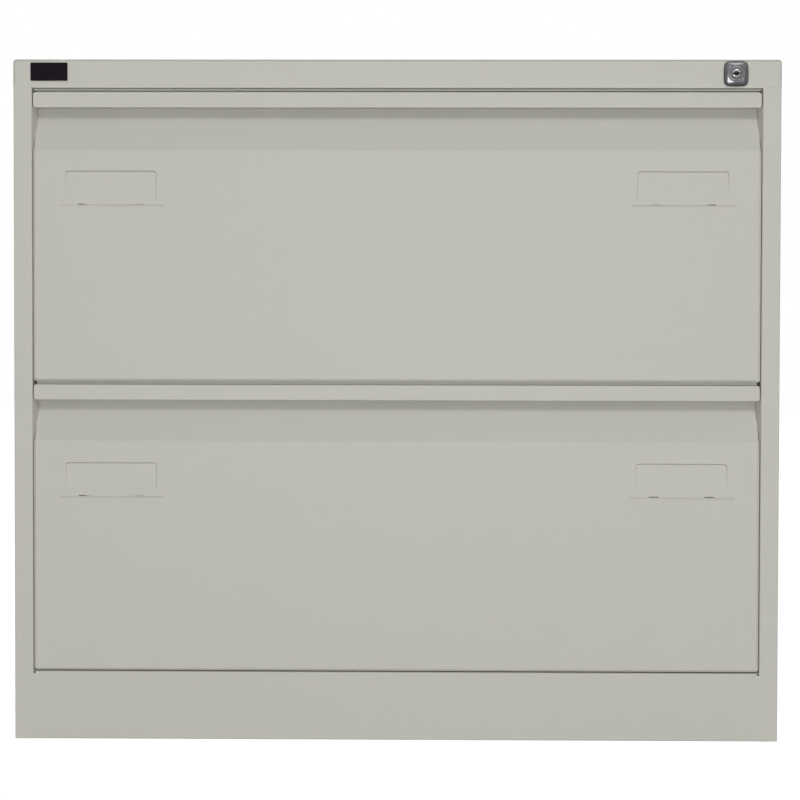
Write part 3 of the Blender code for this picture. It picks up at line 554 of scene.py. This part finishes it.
class Finish(ShaderTree):
    """A material under construction around one Principled shader."""

    def __init__(self, name, **sockets):
        self.material = bpy.data.materials.new(name)
        super().__init__(self.material)
        self.shader = self.node("ShaderNodeBsdfPrincipled")
        self.end = self.node("ShaderNodeOutputMaterial", None, {"Surface": self.shader})
        self.surface(**sockets)
        self.place = self.node("ShaderNodeTexCoord", output="Object")

    def surface(self, **sockets):
        """Feeds the Principled shader's sockets, whose names take _ for a space here."""
        named_sockets = {name.replace("_", " "): value for name, value in sockets.items()}
        self.feed(self.shader.node, named_sockets)

    def stretched(self, scale):
        return self.node("ShaderNodeMapping", None, {"Vector": self.place, "Scale": scale})

    def noise(self, scale, detail=2.0, roughness=0.5, place=None):
        sockets = {
            "Vector": place or self.place, "Scale": scale,
            "Detail": detail, "Roughness": roughness,
        }
        return self.node("ShaderNodeTexNoise", None, sockets, "Fac")

    def mix(self, factor, first, second):
        """Blends two colours; 6 and 7 are the Mix node's colour inputs, and 2 its colour output."""
        sockets = {0: factor, 6: (*first, 1.0), 7: (*second, 1.0)}
        return self.node("ShaderNodeMix", {"data_type": "RGBA"}, sockets, 2)

    def bump(self, height, strength, distance):
        sockets = {"Height": height, "Strength": strength, "Distance": distance}
        self.surface(Normal=self.node("ShaderNodeBump", None, sockets, "Normal"))


def scaled(colour, *factors):
    """A colour times one factor, or times a factor for each channel."""
    if len(factors) == 1:
        factors *= 3
    return tuple(channel * factor for channel, factor in zip(colour, factors))


def powder_coat(name, colour, roughness, texture):
    """Satin powder coat: a fine even skin, faint clouding, and a slight orange peel."""
    finish = Finish(name, Specular_IOR_Level=0.4)
    clouds = finish.noise(2.5, detail=3.0)
    skin = finish.noise(1500, detail=1.0)
    peel = finish.noise(330, detail=1.0)
    tint = clouds * 0.7 + skin * 0.3
    finish.surface(
        Base_Color=finish.mix(tint, scaled(colour, 0.975), scaled(colour, 1.025)),
        Roughness=roughness - 0.06 + clouds * 0.07 + skin * 0.06,
    )
    finish.bump(skin * 0.6 + peel * 0.4, strength=texture, distance=0.0001)
    return finish.material


def zinc_plate(name, colour, roughness):
    """Zinc plating over drawn steel: fine lines along Y under faint cloudy passivation."""
    finish = Finish(name, Metallic=1.0)
    drawn = finish.stretched((900, 9, 900))
    lines = finish.noise(1.0, detail=3.0, roughness=0.6, place=drawn)
    clouds = finish.noise(22, detail=3.0)
    finish.surface(
        Base_Color=finish.mix(clouds, scaled(colour, 0.9), scaled(colour, 1.06, 1.05, 0.99)),
        Roughness=roughness - 0.09 + lines * 0.12 + clouds * 0.08,
    )
    finish.bump(lines, strength=0.25, distance=0.00005)
    return finish.material


def die_cast(name, colour):
    """Satin die-casting with a fine grain that is burnished in places."""
    finish = Finish(name, Metallic=0.9)
    grain = finish.noise(2600)
    rubbed = finish.noise(90)
    finish.surface(
        Base_Color=finish.mix(rubbed, scaled(colour, 0.75), scaled(colour, 1.25)),
        Roughness=0.24 + grain * 0.06 + rubbed * 0.08,
    )
    finish.bump(grain, strength=0.08, distance=0.00005)
    return finish.material


def chrome(name, colour):
    """Bright plating with hair-fine handling marks."""
    finish = Finish(name, Metallic=1.0)
    marks = finish.noise(700, detail=4.0, roughness=0.7)
    finish.surface(
        Base_Color=finish.mix(marks, scaled(colour, 0.95), colour),
        Roughness=0.07 + marks * 0.1,
    )
    finish.bump(marks, strength=0.08, distance=0.00004)
    return finish.material


def moulded(name, colour, roughness, grain_scale, strength):
    """Moulded plastic or rubber with a fine sparked grain."""
    finish = Finish(name)
    grain = finish.noise(grain_scale)
    bloom = finish.noise(35, detail=3.0)
    finish.surface(
        Base_Color=finish.mix(bloom, scaled(colour, 0.8), scaled(colour, 1.5)),
        Roughness=roughness - 0.08 + grain * 0.1 + bloom * 0.06,
    )
    finish.bump(grain, strength=strength, distance=0.0001)
    return finish.material


def badge_gloss(name, colour):
    """Glossy near-black plate whose depth shifts softly between two dark plums."""
    finish = Finish(name, Specular_IOR_Level=0.08)
    drift = finish.noise(60)
    finish.surface(
        Base_Color=finish.mix(drift, scaled(colour, 0.15), scaled(colour, 0.9, 0.5, 1.0)),
        Roughness=0.16 + drift * 0.08,
    )
    finish.bump(finish.noise(900, detail=1.0), strength=0.02, distance=0.00005)
    return finish.material


# The finishes by the names of the record's material slots
FINISHES = {}


# ---------------------------------------------------------------- settings


def colour_setting(name, description, default):
    return bpy.props.FloatVectorProperty(
        name=name, description=description, subtype="COLOR",
        size=3, min=0, max=1, default=default,
    )


def length_setting(name, description, default):
    return bpy.props.FloatProperty(
        name=name, description=description, subtype="DISTANCE", unit="LENGTH",
        min=0, precision=4, default=default,
    )


class CabinetSizes(bpy.types.PropertyGroup):
    gauge: length_setting("Sheet gauge", "Thickness of the folded sheet", 0.0009)
    fold_radius: length_setting("Fold radius", "Outer radius of the body's folds", 0.0014)
    top_radius: length_setting("Top radius", "Outer radius of the top panel's edges", 0.0034)
    corner_relief: length_setting(
        "Corner relief", "Side of the small notch where stile and plinth meet", 0.0022
    )


class CabinetFinishes(bpy.types.PropertyGroup):
    paint: colour_setting(
        "Powder coat", "Colour of the body and drawer fronts", (0.509, 0.503, 0.451)
    )
    inner_paint: colour_setting(
        "Inner coat", "Colour of the steelwork inside", (0.46, 0.455, 0.41)
    )
    zinc: colour_setting(
        "Zinc", "Colour of the plated slides and lock parts", (0.62, 0.63, 0.64)
    )
    chrome: colour_setting("Chrome", "Colour of the lock's plug", (0.48, 0.49, 0.50))
    die_cast: colour_setting(
        "Die-casting", "Colour of the lock's surround and barrel", (0.105, 0.105, 0.11)
    )
    plastic: colour_setting("Plastic", "Colour of the feet and guides", (0.03, 0.03, 0.03))
    rubber: colour_setting("Rubber", "Colour of the slides' buffers", (0.02, 0.02, 0.02))
    badge: colour_setting("Badge", "Colour of the bare badge plate", (0.014, 0.007, 0.014))


class CabinetStage(bpy.types.PropertyGroup):
    sky: bpy.props.FloatProperty(
        name="Sky", description="Strength of the even light from all round", min=0, default=0.15
    )
    key: bpy.props.FloatProperty(
        name="Key light", description="Power of the large light in front",
        unit="POWER", min=0, default=535,
    )
    back: bpy.props.FloatProperty(
        name="Back lights", description="Power of each light behind",
        unit="POWER", min=0, default=200,
    )
    floor: colour_setting("Floor", "Colour of the floor", (0.92, 0.92, 0.92))


def sizes():
    return bpy.context.scene.cabinet_sizes


# ---------------------------------------------------------------- operators


class CABINET_OT_finishes(bpy.types.Operator):
    """Make the cabinet's finishes"""

    bl_idname = "cabinet.finishes"
    bl_label = "Finishes"

    def execute(self, context):
        tints = context.scene.cabinet_finishes
        FINISHES.update(
            paint=powder_coat(
                "grey_powder_coat", tuple(tints.paint), roughness=0.52, texture=0.10
            ),
            inner_paint=powder_coat(
                "inner_powder_coat", tuple(tints.inner_paint), roughness=0.58, texture=0.14
            ),
            zinc=zinc_plate("zinc_plate", tuple(tints.zinc), roughness=0.34),
            chrome=chrome("plug_chrome", tuple(tints.chrome)),
            die_cast=die_cast("dark_die_cast", tuple(tints.die_cast)),
            plastic=moulded(
                "black_plastic", tuple(tints.plastic), roughness=0.5, grain_scale=1800, strength=0.25
            ),
            rubber=moulded(
                "black_rubber", tuple(tints.rubber), roughness=0.8, grain_scale=1100, strength=0.4
            ),
            badge=badge_gloss("plum_badge", tuple(tints.badge)),
        )
        return {"FINISHED"}


class CABINET_OT_kept_nodes(bpy.types.Operator):
    """Give the CAD nodes that stay in sight their finishes"""

    bl_idname = "cabinet.kept_nodes"
    bl_label = "Frame finishes"

    def execute(self, context):
        slots = {part["node"]: part["material_slot"] for part in frame["record"]["subparts"]}
        for name, node in frame["nodes"].items():
            node.data.materials.clear()
            node.data.materials.append(FINISHES[slots[name]])
        return {"FINISHED"}


class CABINET_OT_shell(bpy.types.Operator):
    """Fold the side panels with their front stiles and the plinth between them"""

    bl_idname = "cabinet.shell"
    bl_label = "Cabinet shell"

    def execute(self, context):
        bottom, top, rear = FLOOR_GAP, SIDE_HIGH.z + SEAM_RISE, SIDE_HIGH.y
        sill = PLINTH_HIGH.z
        between = OPENING / 2
        shell = box_between("cabinet_shell", (-SIDE, FRONT, bottom), (SIDE, rear, top))
        edit(shell)
        remove_faces(either(at("z", bottom), at("z", top), at("y", rear)))
        for place, normal in (
            ((-OPENING, 0, 0), (1, 0, 0)),
            ((OPENING, 0, 0), (1, 0, 0)),
            ((0, 0, sill), (0, 0, 1)),
        ):
            bpy.ops.mesh.select_all(action="SELECT")
            bpy.ops.mesh.bisect(plane_co=place, plane_no=normal)
        remove_faces(at("y", FRONT, inside=between, above=sill))

        on_front = at("y", FRONT)
        opening_edge = either(
            at("x", -OPENING, above=sill), at("x", OPENING, above=sill),
            at("z", sill, inside=between),
        )
        extrude_edges(both(on_front, opening_edge), (0, RETURN, 0))
        sill_edge = both(at("z", sill, inside=between), at("y", FRONT + RETURN))
        extrude_edges(sill_edge, (0, PLINTH_HIGH.y - FRONT - RETURN, 0), (0, 0, -SILL_LIP))
        extrude_edges(both(on_front, at("z", bottom, inside=between)), (0, RETURN, 0))
        for sign in (1, -1):
            extrude_edges(both(at("x", sign * SIDE), at("y", rear)), (-sign * RETURN, 0, 0))
        face_outwards((0, FRONT, sill / 2), (0, -1, 0))
        round_edges(folded_edge, sizes().fold_radius)
        leave()
        give_gauge(shell)

        relief = sizes().corner_relief
        notches = []
        for sign in (-1, 1):
            middle = sign * (OPENING - relief / 2)
            notches.append(box_between(
                "notch", (middle - relief / 2, FRONT - relief, sill - relief),
                (middle + relief / 2, FRONT + relief, sill + relief / 4),
            ))
        cut(shell, *notches)
        smooth(shell)
        dress(
            shell, FINISHES["paint"], "cabinet", "paint",
            "left_side_panel", "right_side_panel", "plinth_panel",
        )
        return {"FINISHED"}


class CABINET_OT_top(bpy.types.Operator):
    """Fold the top panel with the rail over the drawers"""

    bl_idname = "cabinet.top"
    bl_label = "Top panel"

    def execute(self, context):
        low, high = TOP_LOW, TOP_HIGH
        top = box_between("top_cover", low, high)
        edit(top)
        pick("faces", at("z", low.z))
        bpy.ops.mesh.inset(thickness=RETURN, use_even_offset=True)
        bpy.ops.mesh.delete(type="FACE")
        outer = either(at("z", high.z), lambda edge: run_along(edge, "z") > RETURN)
        round_edges(both(folded_edge, outer), sizes().top_radius, TOP_STEPS)
        round_edges(both(folded_edge, at("z", low.z)), sizes().gauge)
        face_outwards((0, 0, high.z), (0, 0, 1))
        leave()
        give_gauge(top)

        bore = lathe("bore", [(BORE_RADIUS, -CUT_REACH), (BORE_RADIUS, CUT_REACH)])
        bar_low, bar_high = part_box("lock_bar")
        notch = box_between(
            "notch", (bar_high.x - NOTCH_WIDTH, bar_low.y - CUT_REACH, low.z - CUT_OVER),
            (bar_high.x + NOTCH_GAP, bar_high.y + CUT_REACH, low.z + NOTCH_RISE),
        )
        ends = []
        for sign in (-1, 1):
            middle = sign * (OPENING + high.x) / 2
            ends.append(box_between(
                "end", (middle - END_HALF, low.y - END_OVER, low.z - END_OVER),
                (middle + END_HALF, high.y + END_OVER, low.z + SEAM_RISE - SEAM_GAP),
            ))
        cut(top, bore, notch)
        cut(top, *ends)

        reach, depth = OPENING - RAIL_LIP_GAP, FRONT + RAIL_LIP_DEPTH
        lip = box_between(
            "lip", (-reach, depth, low.z - RAIL_LIP),
            (reach, depth + sizes().gauge, low.z + RAIL_LIP_LAP),
        )
        join(top, lip)
        smooth(top)
        dress(top, FINISHES["paint"], "cabinet", "paint", "top_panel")
        return {"FINISHED"}


class CABINET_OT_drawer_fronts(bpy.types.Operator):
    """Fold both drawer fronts with their grips, label pockets and grooves"""

    bl_idname = "cabinet.drawer_fronts"
    bl_label = "Drawer fronts"

    def execute(self, context):
        for name, (low, high) in DRAWERS.items():
            grip = low.z + GRIP_START - GRIP_DROPS[name]
            top = high.z - GRIP_DROPS[name]
            pieces = [
                self.face(low, high, grip, top, low.z + POCKET_LIFTS[name]),
                self.grip(high.x, grip, top),
                self.draught_lip(high, top),
                *self.cheeks(high.x, low.z + LEAN_START, grip),
            ]
            front = join(*pieces)
            front.name = f"{name}_drawer_face"
            smooth(front)
            dress(front, FINISHES["paint"], f"{name}_drawer", "paint", f"{name}_drawer_front_skin")
        return {"FINISHED"}

    def face(self, low, high, grip, top, base):
        """The bordered face with its pockets, the leaning recess above it, and their returns."""
        half = high.x
        lean = low.z + LEAN_START
        under_top = top - sizes().gauge
        face = front_plane("drawer_front", -half, low.z, 2 * half, lean - low.z)
        edit(face)
        round_corners(lambda vert: same(vert.co.z, low.z), *FACE_CORNER)
        pick("faces", everything)
        bpy.ops.mesh.inset(thickness=FACE_BORDER, use_even_offset=True)
        lean_edge = both(free_edge, at("z", lean))
        extrude_edges(lean_edge, (0, GRIP_REACH, grip - lean), (0, 0, under_top - grip))

        def perimeter(edge):
            return free_edge(edge) and not at("z", under_top)(edge)

        def across(edge):
            return run_along(edge, "y") <= NEARLY_ALL * edge.calc_length()

        extrude_edges(perimeter, (0, RIM_DEPTH, 0))
        face_outwards((0, FRONT, low.z + LEAN_START / 2), (0, -1, 0))
        round_edges(both(folded_edge, across), FACE_FOLD)
        extrude_edges(perimeter, (0, 0, 0))
        height = under_top - low.z
        wider = ((half + RIM_STEP) / half, 1, (height + RIM_DROP) / height)
        bpy.ops.transform.resize(value=wider, center_override=(0, FRONT, under_top))
        extrude_edges(perimeter, (0, 0, 0))
        flat_at = (0, FRONT + SKIN_RETURN, 0)
        bpy.ops.transform.resize(value=(1, 0, 1), center_override=flat_at)
        least = LEAN_START * half
        remove_faces(lambda found: found.calc_area() > least and same(found.normal.y, -1))
        leave()

        join(face, *self.rims(base))
        edit(face)
        pick("edges", both(free_edge, at("y", FRONT)))
        bpy.ops.mesh.fill(use_beauty=True)
        self.press_pockets(base)
        face_outwards((0, FRONT, low.z + FACE_SPOT), (0, -1, 0))
        leave()
        give_gauge(face, even=False)
        return face

    def rims(self, base):
        """Planes where the pockets, their grooves and their slits go."""
        rims = []
        top = base + POCKET_TOP
        groove = base + GROOVE_MIDDLE - GROOVE_HEIGHT / 2
        slit = groove + GROOVE_HEIGHT + SLIT_RISE
        for middle in (-POCKET_OFFSET, POCKET_OFFSET):
            left = middle - POCKET_WIDTH / 2
            pocket = front_plane("pocket", left, top - POCKET_RUN, POCKET_WIDTH, POCKET_RUN)
            edit(pocket)
            round_corners(lambda vert: same(vert.co.z, top), *POCKET_CORNER)
            leave()
            rims.append(pocket)
            left = middle - GROOVE_WIDTH / 2
            rims.append(front_plane("groove", left, groove, GROOVE_WIDTH, GROOVE_HEIGHT))
            for offset in (-SLIT_OFFSET, SLIT_OFFSET):
                left = middle + offset - SLIT_WIDTH / 2
                rims.append(front_plane("slit", left, slit, SLIT_WIDTH, SLIT_HEIGHT))
        return rims

    def press_pockets(self, base):
        """Leans each pocket's floor back, sinks its groove and slits, and softens its rim."""
        top = base + POCKET_TOP
        groove = base + GROOVE_MIDDLE
        slit = groove + GROOVE_HEIGHT / 2 + SLIT_RISE + SLIT_HEIGHT / 2
        for side in (-1, 1):

            def on_side(face):
                return face.calc_center_median().x * side > 0

            pick("faces", both(panel(POCKET_WIDTH, POCKET_RUN, top - POCKET_RUN / 2), on_side))
            bpy.ops.mesh.inset(thickness=POCKET_WALL, use_even_offset=True)
            hinge = (side * POCKET_OFFSET, FRONT, top - POCKET_RUN + POCKET_WALL)
            self.lean_back(math.atan2(POCKET_DEPTH, POCKET_RUN - 2 * POCKET_WALL), hinge)
            on_groove = panel(GROOVE_WIDTH, GROOVE_HEIGHT, groove)
            sink(both(on_groove, on_side), GROOVE_WALL, GROOVE_DEPTH)
        sink(panel(SLIT_WIDTH, SLIT_HEIGHT, slit), SLIT_WALL, SLIT_DEPTH)
        pick("faces", at("y", FRONT))
        bpy.ops.mesh.dissolve_limited(angle_limit=FLAT_ANGLE)

        def on_rim(edge):
            middle = (edge.verts[0].co + edge.verts[1].co) / 2
            near_pocket = abs(abs(middle.x) - POCKET_OFFSET) < POCKET_WIDTH / 2 + TINY
            return near_pocket and top - POCKET_RUN * RIM_SHARE < middle.z < top + TINY

        round_edges(both(on_rim, folded_edge), *POCKET_RIM)
        bpy.ops.mesh.select_all(action="SELECT")
        bpy.ops.mesh.remove_doubles(threshold=TINY)
        bpy.ops.mesh.dissolve_degenerate(threshold=TINY)
        pick("faces", at("y", FRONT))
        bpy.ops.mesh.dissolve_limited(angle_limit=FLAT_ANGLE)

    def lean_back(self, tilt, hinge):
        """Turns the selection back; the operator's sense differs with no window, so it is tried."""
        bpy.ops.transform.rotate(value=tilt, orient_axis="X", center_override=hinge)
        depths = [place.y for place in selected_places()]
        if sum(depths) / len(depths) < FRONT:
            bpy.ops.transform.rotate(value=-2 * tilt, orient_axis="X", center_override=hinge)

    def grip(self, half, bottom, top):
        """The strip that is folded forward over the leaning recess."""
        reach = half + GRIP_OVERHANG
        strip = front_plane("grip", -reach, bottom, 2 * reach, top - bottom)
        edit(strip)
        round_corners(everything, *GRIP_CORNER)
        extrude_edges(free_edge, (0, GRIP_TURN, 0))
        round_edges(both(folded_edge, at("y", FRONT)), GRIP_FOLD)
        rear_of_top = both(free_edge, at("z", top), at("y", FRONT + GRIP_TURN))
        extrude_edges(rear_of_top, (0, GRIP_REACH + sizes().gauge - GRIP_TURN, 0))
        face_outwards((0, FRONT, (bottom + top) / 2), (0, -1, 0))
        leave()
        give_gauge(strip)
        return strip

    def draught_lip(self, high, top):
        """A lip behind the grip's top that gives the gap above it a painted floor."""
        gauge, depth = sizes().gauge, FRONT + LIP_DEPTH
        return box_between(
            "lip", (-high.x, depth, top - gauge / 2), (high.x, depth + gauge, high.z + DRAUGHT_LIP)
        )

    def cheeks(self, half, lean, grip):
        """Slim sloped sheets that close the ends of the leaning recess."""
        edge = half + RIM_STEP
        cheek = plane_between(
            "cheek", (edge, FRONT + CHEEK_START, lean), (0, 0, grip + sizes().gauge - lean),
            (-CHEEK_INSET - RIM_STEP, CHEEK_RUN, 0),
        )
        give_gauge(cheek)
        return cheek, mirrored(cheek)


class CABINET_OT_lock(bpy.types.Operator):
    """Cast the lock's surround, and turn its barrel and its plug with the keyway"""

    bl_idname = "cabinet.lock"
    bl_label = "Lock"

    def execute(self, context):
        surround = self.surround()
        smooth(surround)
        dress(surround, FINISHES["die_cast"], "cabinet", "die_cast", "lock_escutcheon")
        barrel = self.barrel()
        smooth(barrel)
        dress(barrel, FINISHES["die_cast"], "cabinet", "die_cast", "lock_barrel")

        face = PLUG_LOW.y - FRONT
        mouth = profile_of(KEYHOLE, face, PLUG_MOUTH)
        edge = profile_of(PLUG_RADIUS, face, PLUG_EDGE)
        plug = lathe("plug", [*mouth, *edge, (PLUG_RADIUS, PLUG_HIGH.y - FRONT)])
        cut(plug, self.keyway("slot", 0, face - CUT_OVER, face + KEYWAY_DEPTH))
        smooth(plug)
        dress(plug, FINISHES["chrome"], "lock_core", "chrome", "lock_plug")

        radius, start = KEYHOLE - SHUTTER_GAP, face + SHUTTER_START
        shutter = lathe("keyway_shutter", [(radius, start), (radius, face + SHUTTER_END)])
        join(shutter, self.keyway("across", 2 * SHUTTER_GAP, start, face + SHUTTER_BAR_END))
        dress(shutter, FINISHES["plastic"], "lock_core", "plastic")
        return {"FINISHED"}

    def keyway(self, name, smaller, start, end):
        """A bar of the keyway's section, smaller by a length, from one depth to another."""
        width, height = KEYWAY_WIDTH - smaller, KEYWAY_HEIGHT - smaller
        return box_between(
            name, (LOCK_X - width / 2, FRONT + start, LOCK_Z - height / 2),
            (LOCK_X + width / 2, FRONT + end, LOCK_Z + height / 2),
        )

    def barrel(self):
        """The turned barrel with its ridged face and its bore for the plug."""
        radius = (BARREL_HIGH.x - BARREL_LOW.x) / 2
        bore = PLUG_RADIUS + BARREL_GAP
        face, end = BARREL_LOW.y - FRONT, BARREL_HIGH.y - FRONT
        mouth = profile_of(bore, face, BARREL_MOUTH)
        edge = profile_of(radius, face, BARREL_EDGE)
        profile = [*mouth, *edge, (radius, end), (bore, end)]
        piece = lathe("lock_barrel_turned", profile, closed=False)
        edit(piece)
        pick("edges", free_edge)
        bpy.ops.mesh.bridge_edge_loops()
        make_consistent()
        leave()
        return piece

    def surround(self):
        """A swollen square that domes up to a round collar about the barrel."""
        low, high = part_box("lock_escutcheon")
        middle = (low + high) / 2
        width, height = high.x - low.x, high.z - low.z
        wall = high.y - LOCK_LIP
        piece = plane_between("lock_surround", (low.x, wall, low.z), (width, 0, 0), (0, 0, height))
        edit(piece)
        round_corners(everything, *SURROUND_CORNER)
        pick("edges", lambda edge: edge.calc_length() > width / 2)
        bpy.ops.mesh.subdivide(number_cuts=SURROUND_CUTS)
        bpy.ops.mesh.select_all(action="SELECT")
        bpy.ops.transform.tosphere(value=SURROUND_SWELL, center_override=middle)
        fit(width, height, middle)
        extrude_edges(free_edge, (0, LOCK_LIP, 0))

        pick("faces", at("y", wall))
        mouth = BARREL_HIGH.x - BARREL_LOW.x + MOUTH_GAP
        proud = wall - low.y
        before = 0
        for share, rise, roundness in COLLAR_STEPS:
            move = (0, (before - rise) * proud, 0)
            bpy.ops.mesh.extrude_region_move(TRANSFORM_OT_translate={"value": move})
            bpy.ops.transform.tosphere(value=roundness, center_override=middle)
            fit(width + (mouth - width) * share, height + (mouth - height) * share, middle)
            before = rise
        bpy.ops.mesh.delete(type="FACE")

        def at_mouth(edge):
            return free_edge(edge) and same(edge.verts[0].co.y, low.y, MOUTH_SLACK)

        extrude_edges(at_mouth, (0, proud, 0))
        face_outwards((low.x, wall + LOCK_LIP / 2, middle.z), (-1, 0, 0))
        leave()
        return piece


class CABINET_OT_badge(bpy.types.Operator):
    """Make the bare badge plate"""

    bl_idname = "cabinet.badge"
    bl_label = "Badge"

    def execute(self, context):
        low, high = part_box("badge_plate")
        plate = box_between("badge", low, high)
        edit(plate)
        round_edges(lambda edge: run_along(edge, "y") > TINY, *BADGE_CORNER)
        round_edges(at("y", low.y), *BADGE_EDGE)
        leave()
        smooth(plate)
        dress(plate, FINISHES["badge"], "cabinet", "badge", "badge_plate")
        return {"FINISHED"}


class CABINET_OT_stage(bpy.types.Operator):
    """Set the floor, the soft light and the camera"""

    bl_idname = "cabinet.stage"
    bl_label = "Stage"

    def execute(self, context):
        scene = context.scene
        stage = scene.cabinet_stage
        self.floor(stage)
        self.sky(scene, stage)
        for name, place, side, power, share in LAMPS:
            self.lamp(scene, name, place, side, getattr(stage, power) * share)
        self.camera(scene)
        scene.view_settings.view_transform = "Standard"
        return {"FINISHED"}

    def floor(self, stage):
        """A pale floor that the camera sees as white."""
        ready()
        bpy.ops.mesh.primitive_plane_add(size=FLOOR_SIDE)
        floor = named("floor")
        finish = Finish("pale_floor", Base_Color=(*stage.floor, 1.0), Roughness=FLOOR_ROUGHNESS)
        glow = finish.node("ShaderNodeEmission", None, {"Color": WHITE, "Strength": FLOOR_GLOW})
        seen = finish.node("ShaderNodeLightPath", output="Is Camera Ray")
        sockets = {0: seen * GLOW_SHARE, 1: finish.shader, 2: glow}
        blend = finish.node("ShaderNodeMixShader", None, sockets)
        finish.feed(finish.end.node, {"Surface": blend})
        floor.data.materials.append(finish.material)

    def sky(self, scene, stage):
        """An even sky that is white to the camera and in reflections."""
        world = bpy.data.worlds.new("even_sky")
        scene.world = world
        sky = ShaderTree(world)
        direct = sky.node("ShaderNodeLightPath", output="Is Camera Ray")
        mirror = sky.node("ShaderNodeLightPath", output="Is Glossy Ray")
        white = sky.node("ShaderNodeMath", {"operation": "MAXIMUM"}, {0: direct, 1: mirror})
        sockets = {"Value": white, "To Min": stage.sky, "To Max": 1.0}
        level = sky.node("ShaderNodeMapRange", None, sockets, "Result")
        light = sky.node("ShaderNodeBackground", None, {"Color": WHITE, "Strength": level})
        sky.node("ShaderNodeOutputWorld", None, {"Surface": light})

    def lamp(self, scene, name, place, side, power):
        light = bpy.data.lights.new(name, "AREA")
        light.shape = "SQUARE"
        light.size = side
        light.energy = power
        lamp = bpy.data.objects.new(name, light)
        scene.collection.objects.link(lamp)
        lamp.location = place
        view = Vector(LAMP_TARGET) - Vector(place)
        lamp.rotation_euler = view.to_track_quat("-Z", "Y").to_euler()

    def camera(self, scene):
        """The photograph's viewpoint."""
        lens = bpy.data.cameras.new("camera")
        lens.sensor_width = SENSOR
        lens.lens = FOCAL_PIXELS / IMAGE_SIDE * SENSOR
        eye = bpy.data.objects.new("camera", lens)
        scene.collection.objects.link(eye)
        eye.location = CAMERA_PLACE
        eye.rotation_euler = (math.pi / 2 - CAMERA_PITCH, -CAMERA_ROLL, CAMERA_YAW)
        scene.camera = eye


# The operators in the order that main() calls them
PIECES = (
    CABINET_OT_finishes,
    CABINET_OT_kept_nodes,
    CABINET_OT_shell,
    CABINET_OT_top,
    CABINET_OT_drawer_fronts,
    CABINET_OT_lock,
    CABINET_OT_badge,
    CABINET_OT_stage,
)

GROUPS = (
    ("cabinet_sizes", CabinetSizes),
    ("cabinet_finishes", CabinetFinishes),
    ("cabinet_stage", CabinetStage),
)


class CABINET_PT_panel(bpy.types.Panel):
    """Lists the cabinet's pieces and settings in the sidebar"""

    bl_idname = "CABINET_PT_panel"
    bl_label = "Suspension File Cabinet"
    bl_space_type = "VIEW_3D"
    bl_region_type = "UI"
    bl_category = "Cabinet"

    def draw(self, context):
        for piece in PIECES:
            self.layout.operator(piece.bl_idname)
        for group, _ in GROUPS:
            settings = getattr(context.scene, group)
            for name in settings.bl_rna.properties.keys():
                if name not in ("rna_type", "name"):
                    self.layout.prop(settings, name)


def register():
    for name, group in GROUPS:
        bpy.utils.register_class(group)
        setattr(bpy.types.Scene, name, bpy.props.PointerProperty(type=group))
    for piece in PIECES:
        bpy.utils.register_class(piece)
    bpy.utils.register_class(CABINET_PT_panel)


def unregister():
    bpy.utils.unregister_class(CABINET_PT_panel)
    for piece in reversed(PIECES):
        bpy.utils.unregister_class(piece)
    for name, group in reversed(GROUPS):
        delattr(bpy.types.Scene, name)
        bpy.utils.unregister_class(group)


def main():
    register()
    for piece in PIECES:
        group, name = piece.bl_idname.split(".")
        getattr(getattr(bpy.ops, group), name)()


if __name__ == "__main__":
    main()
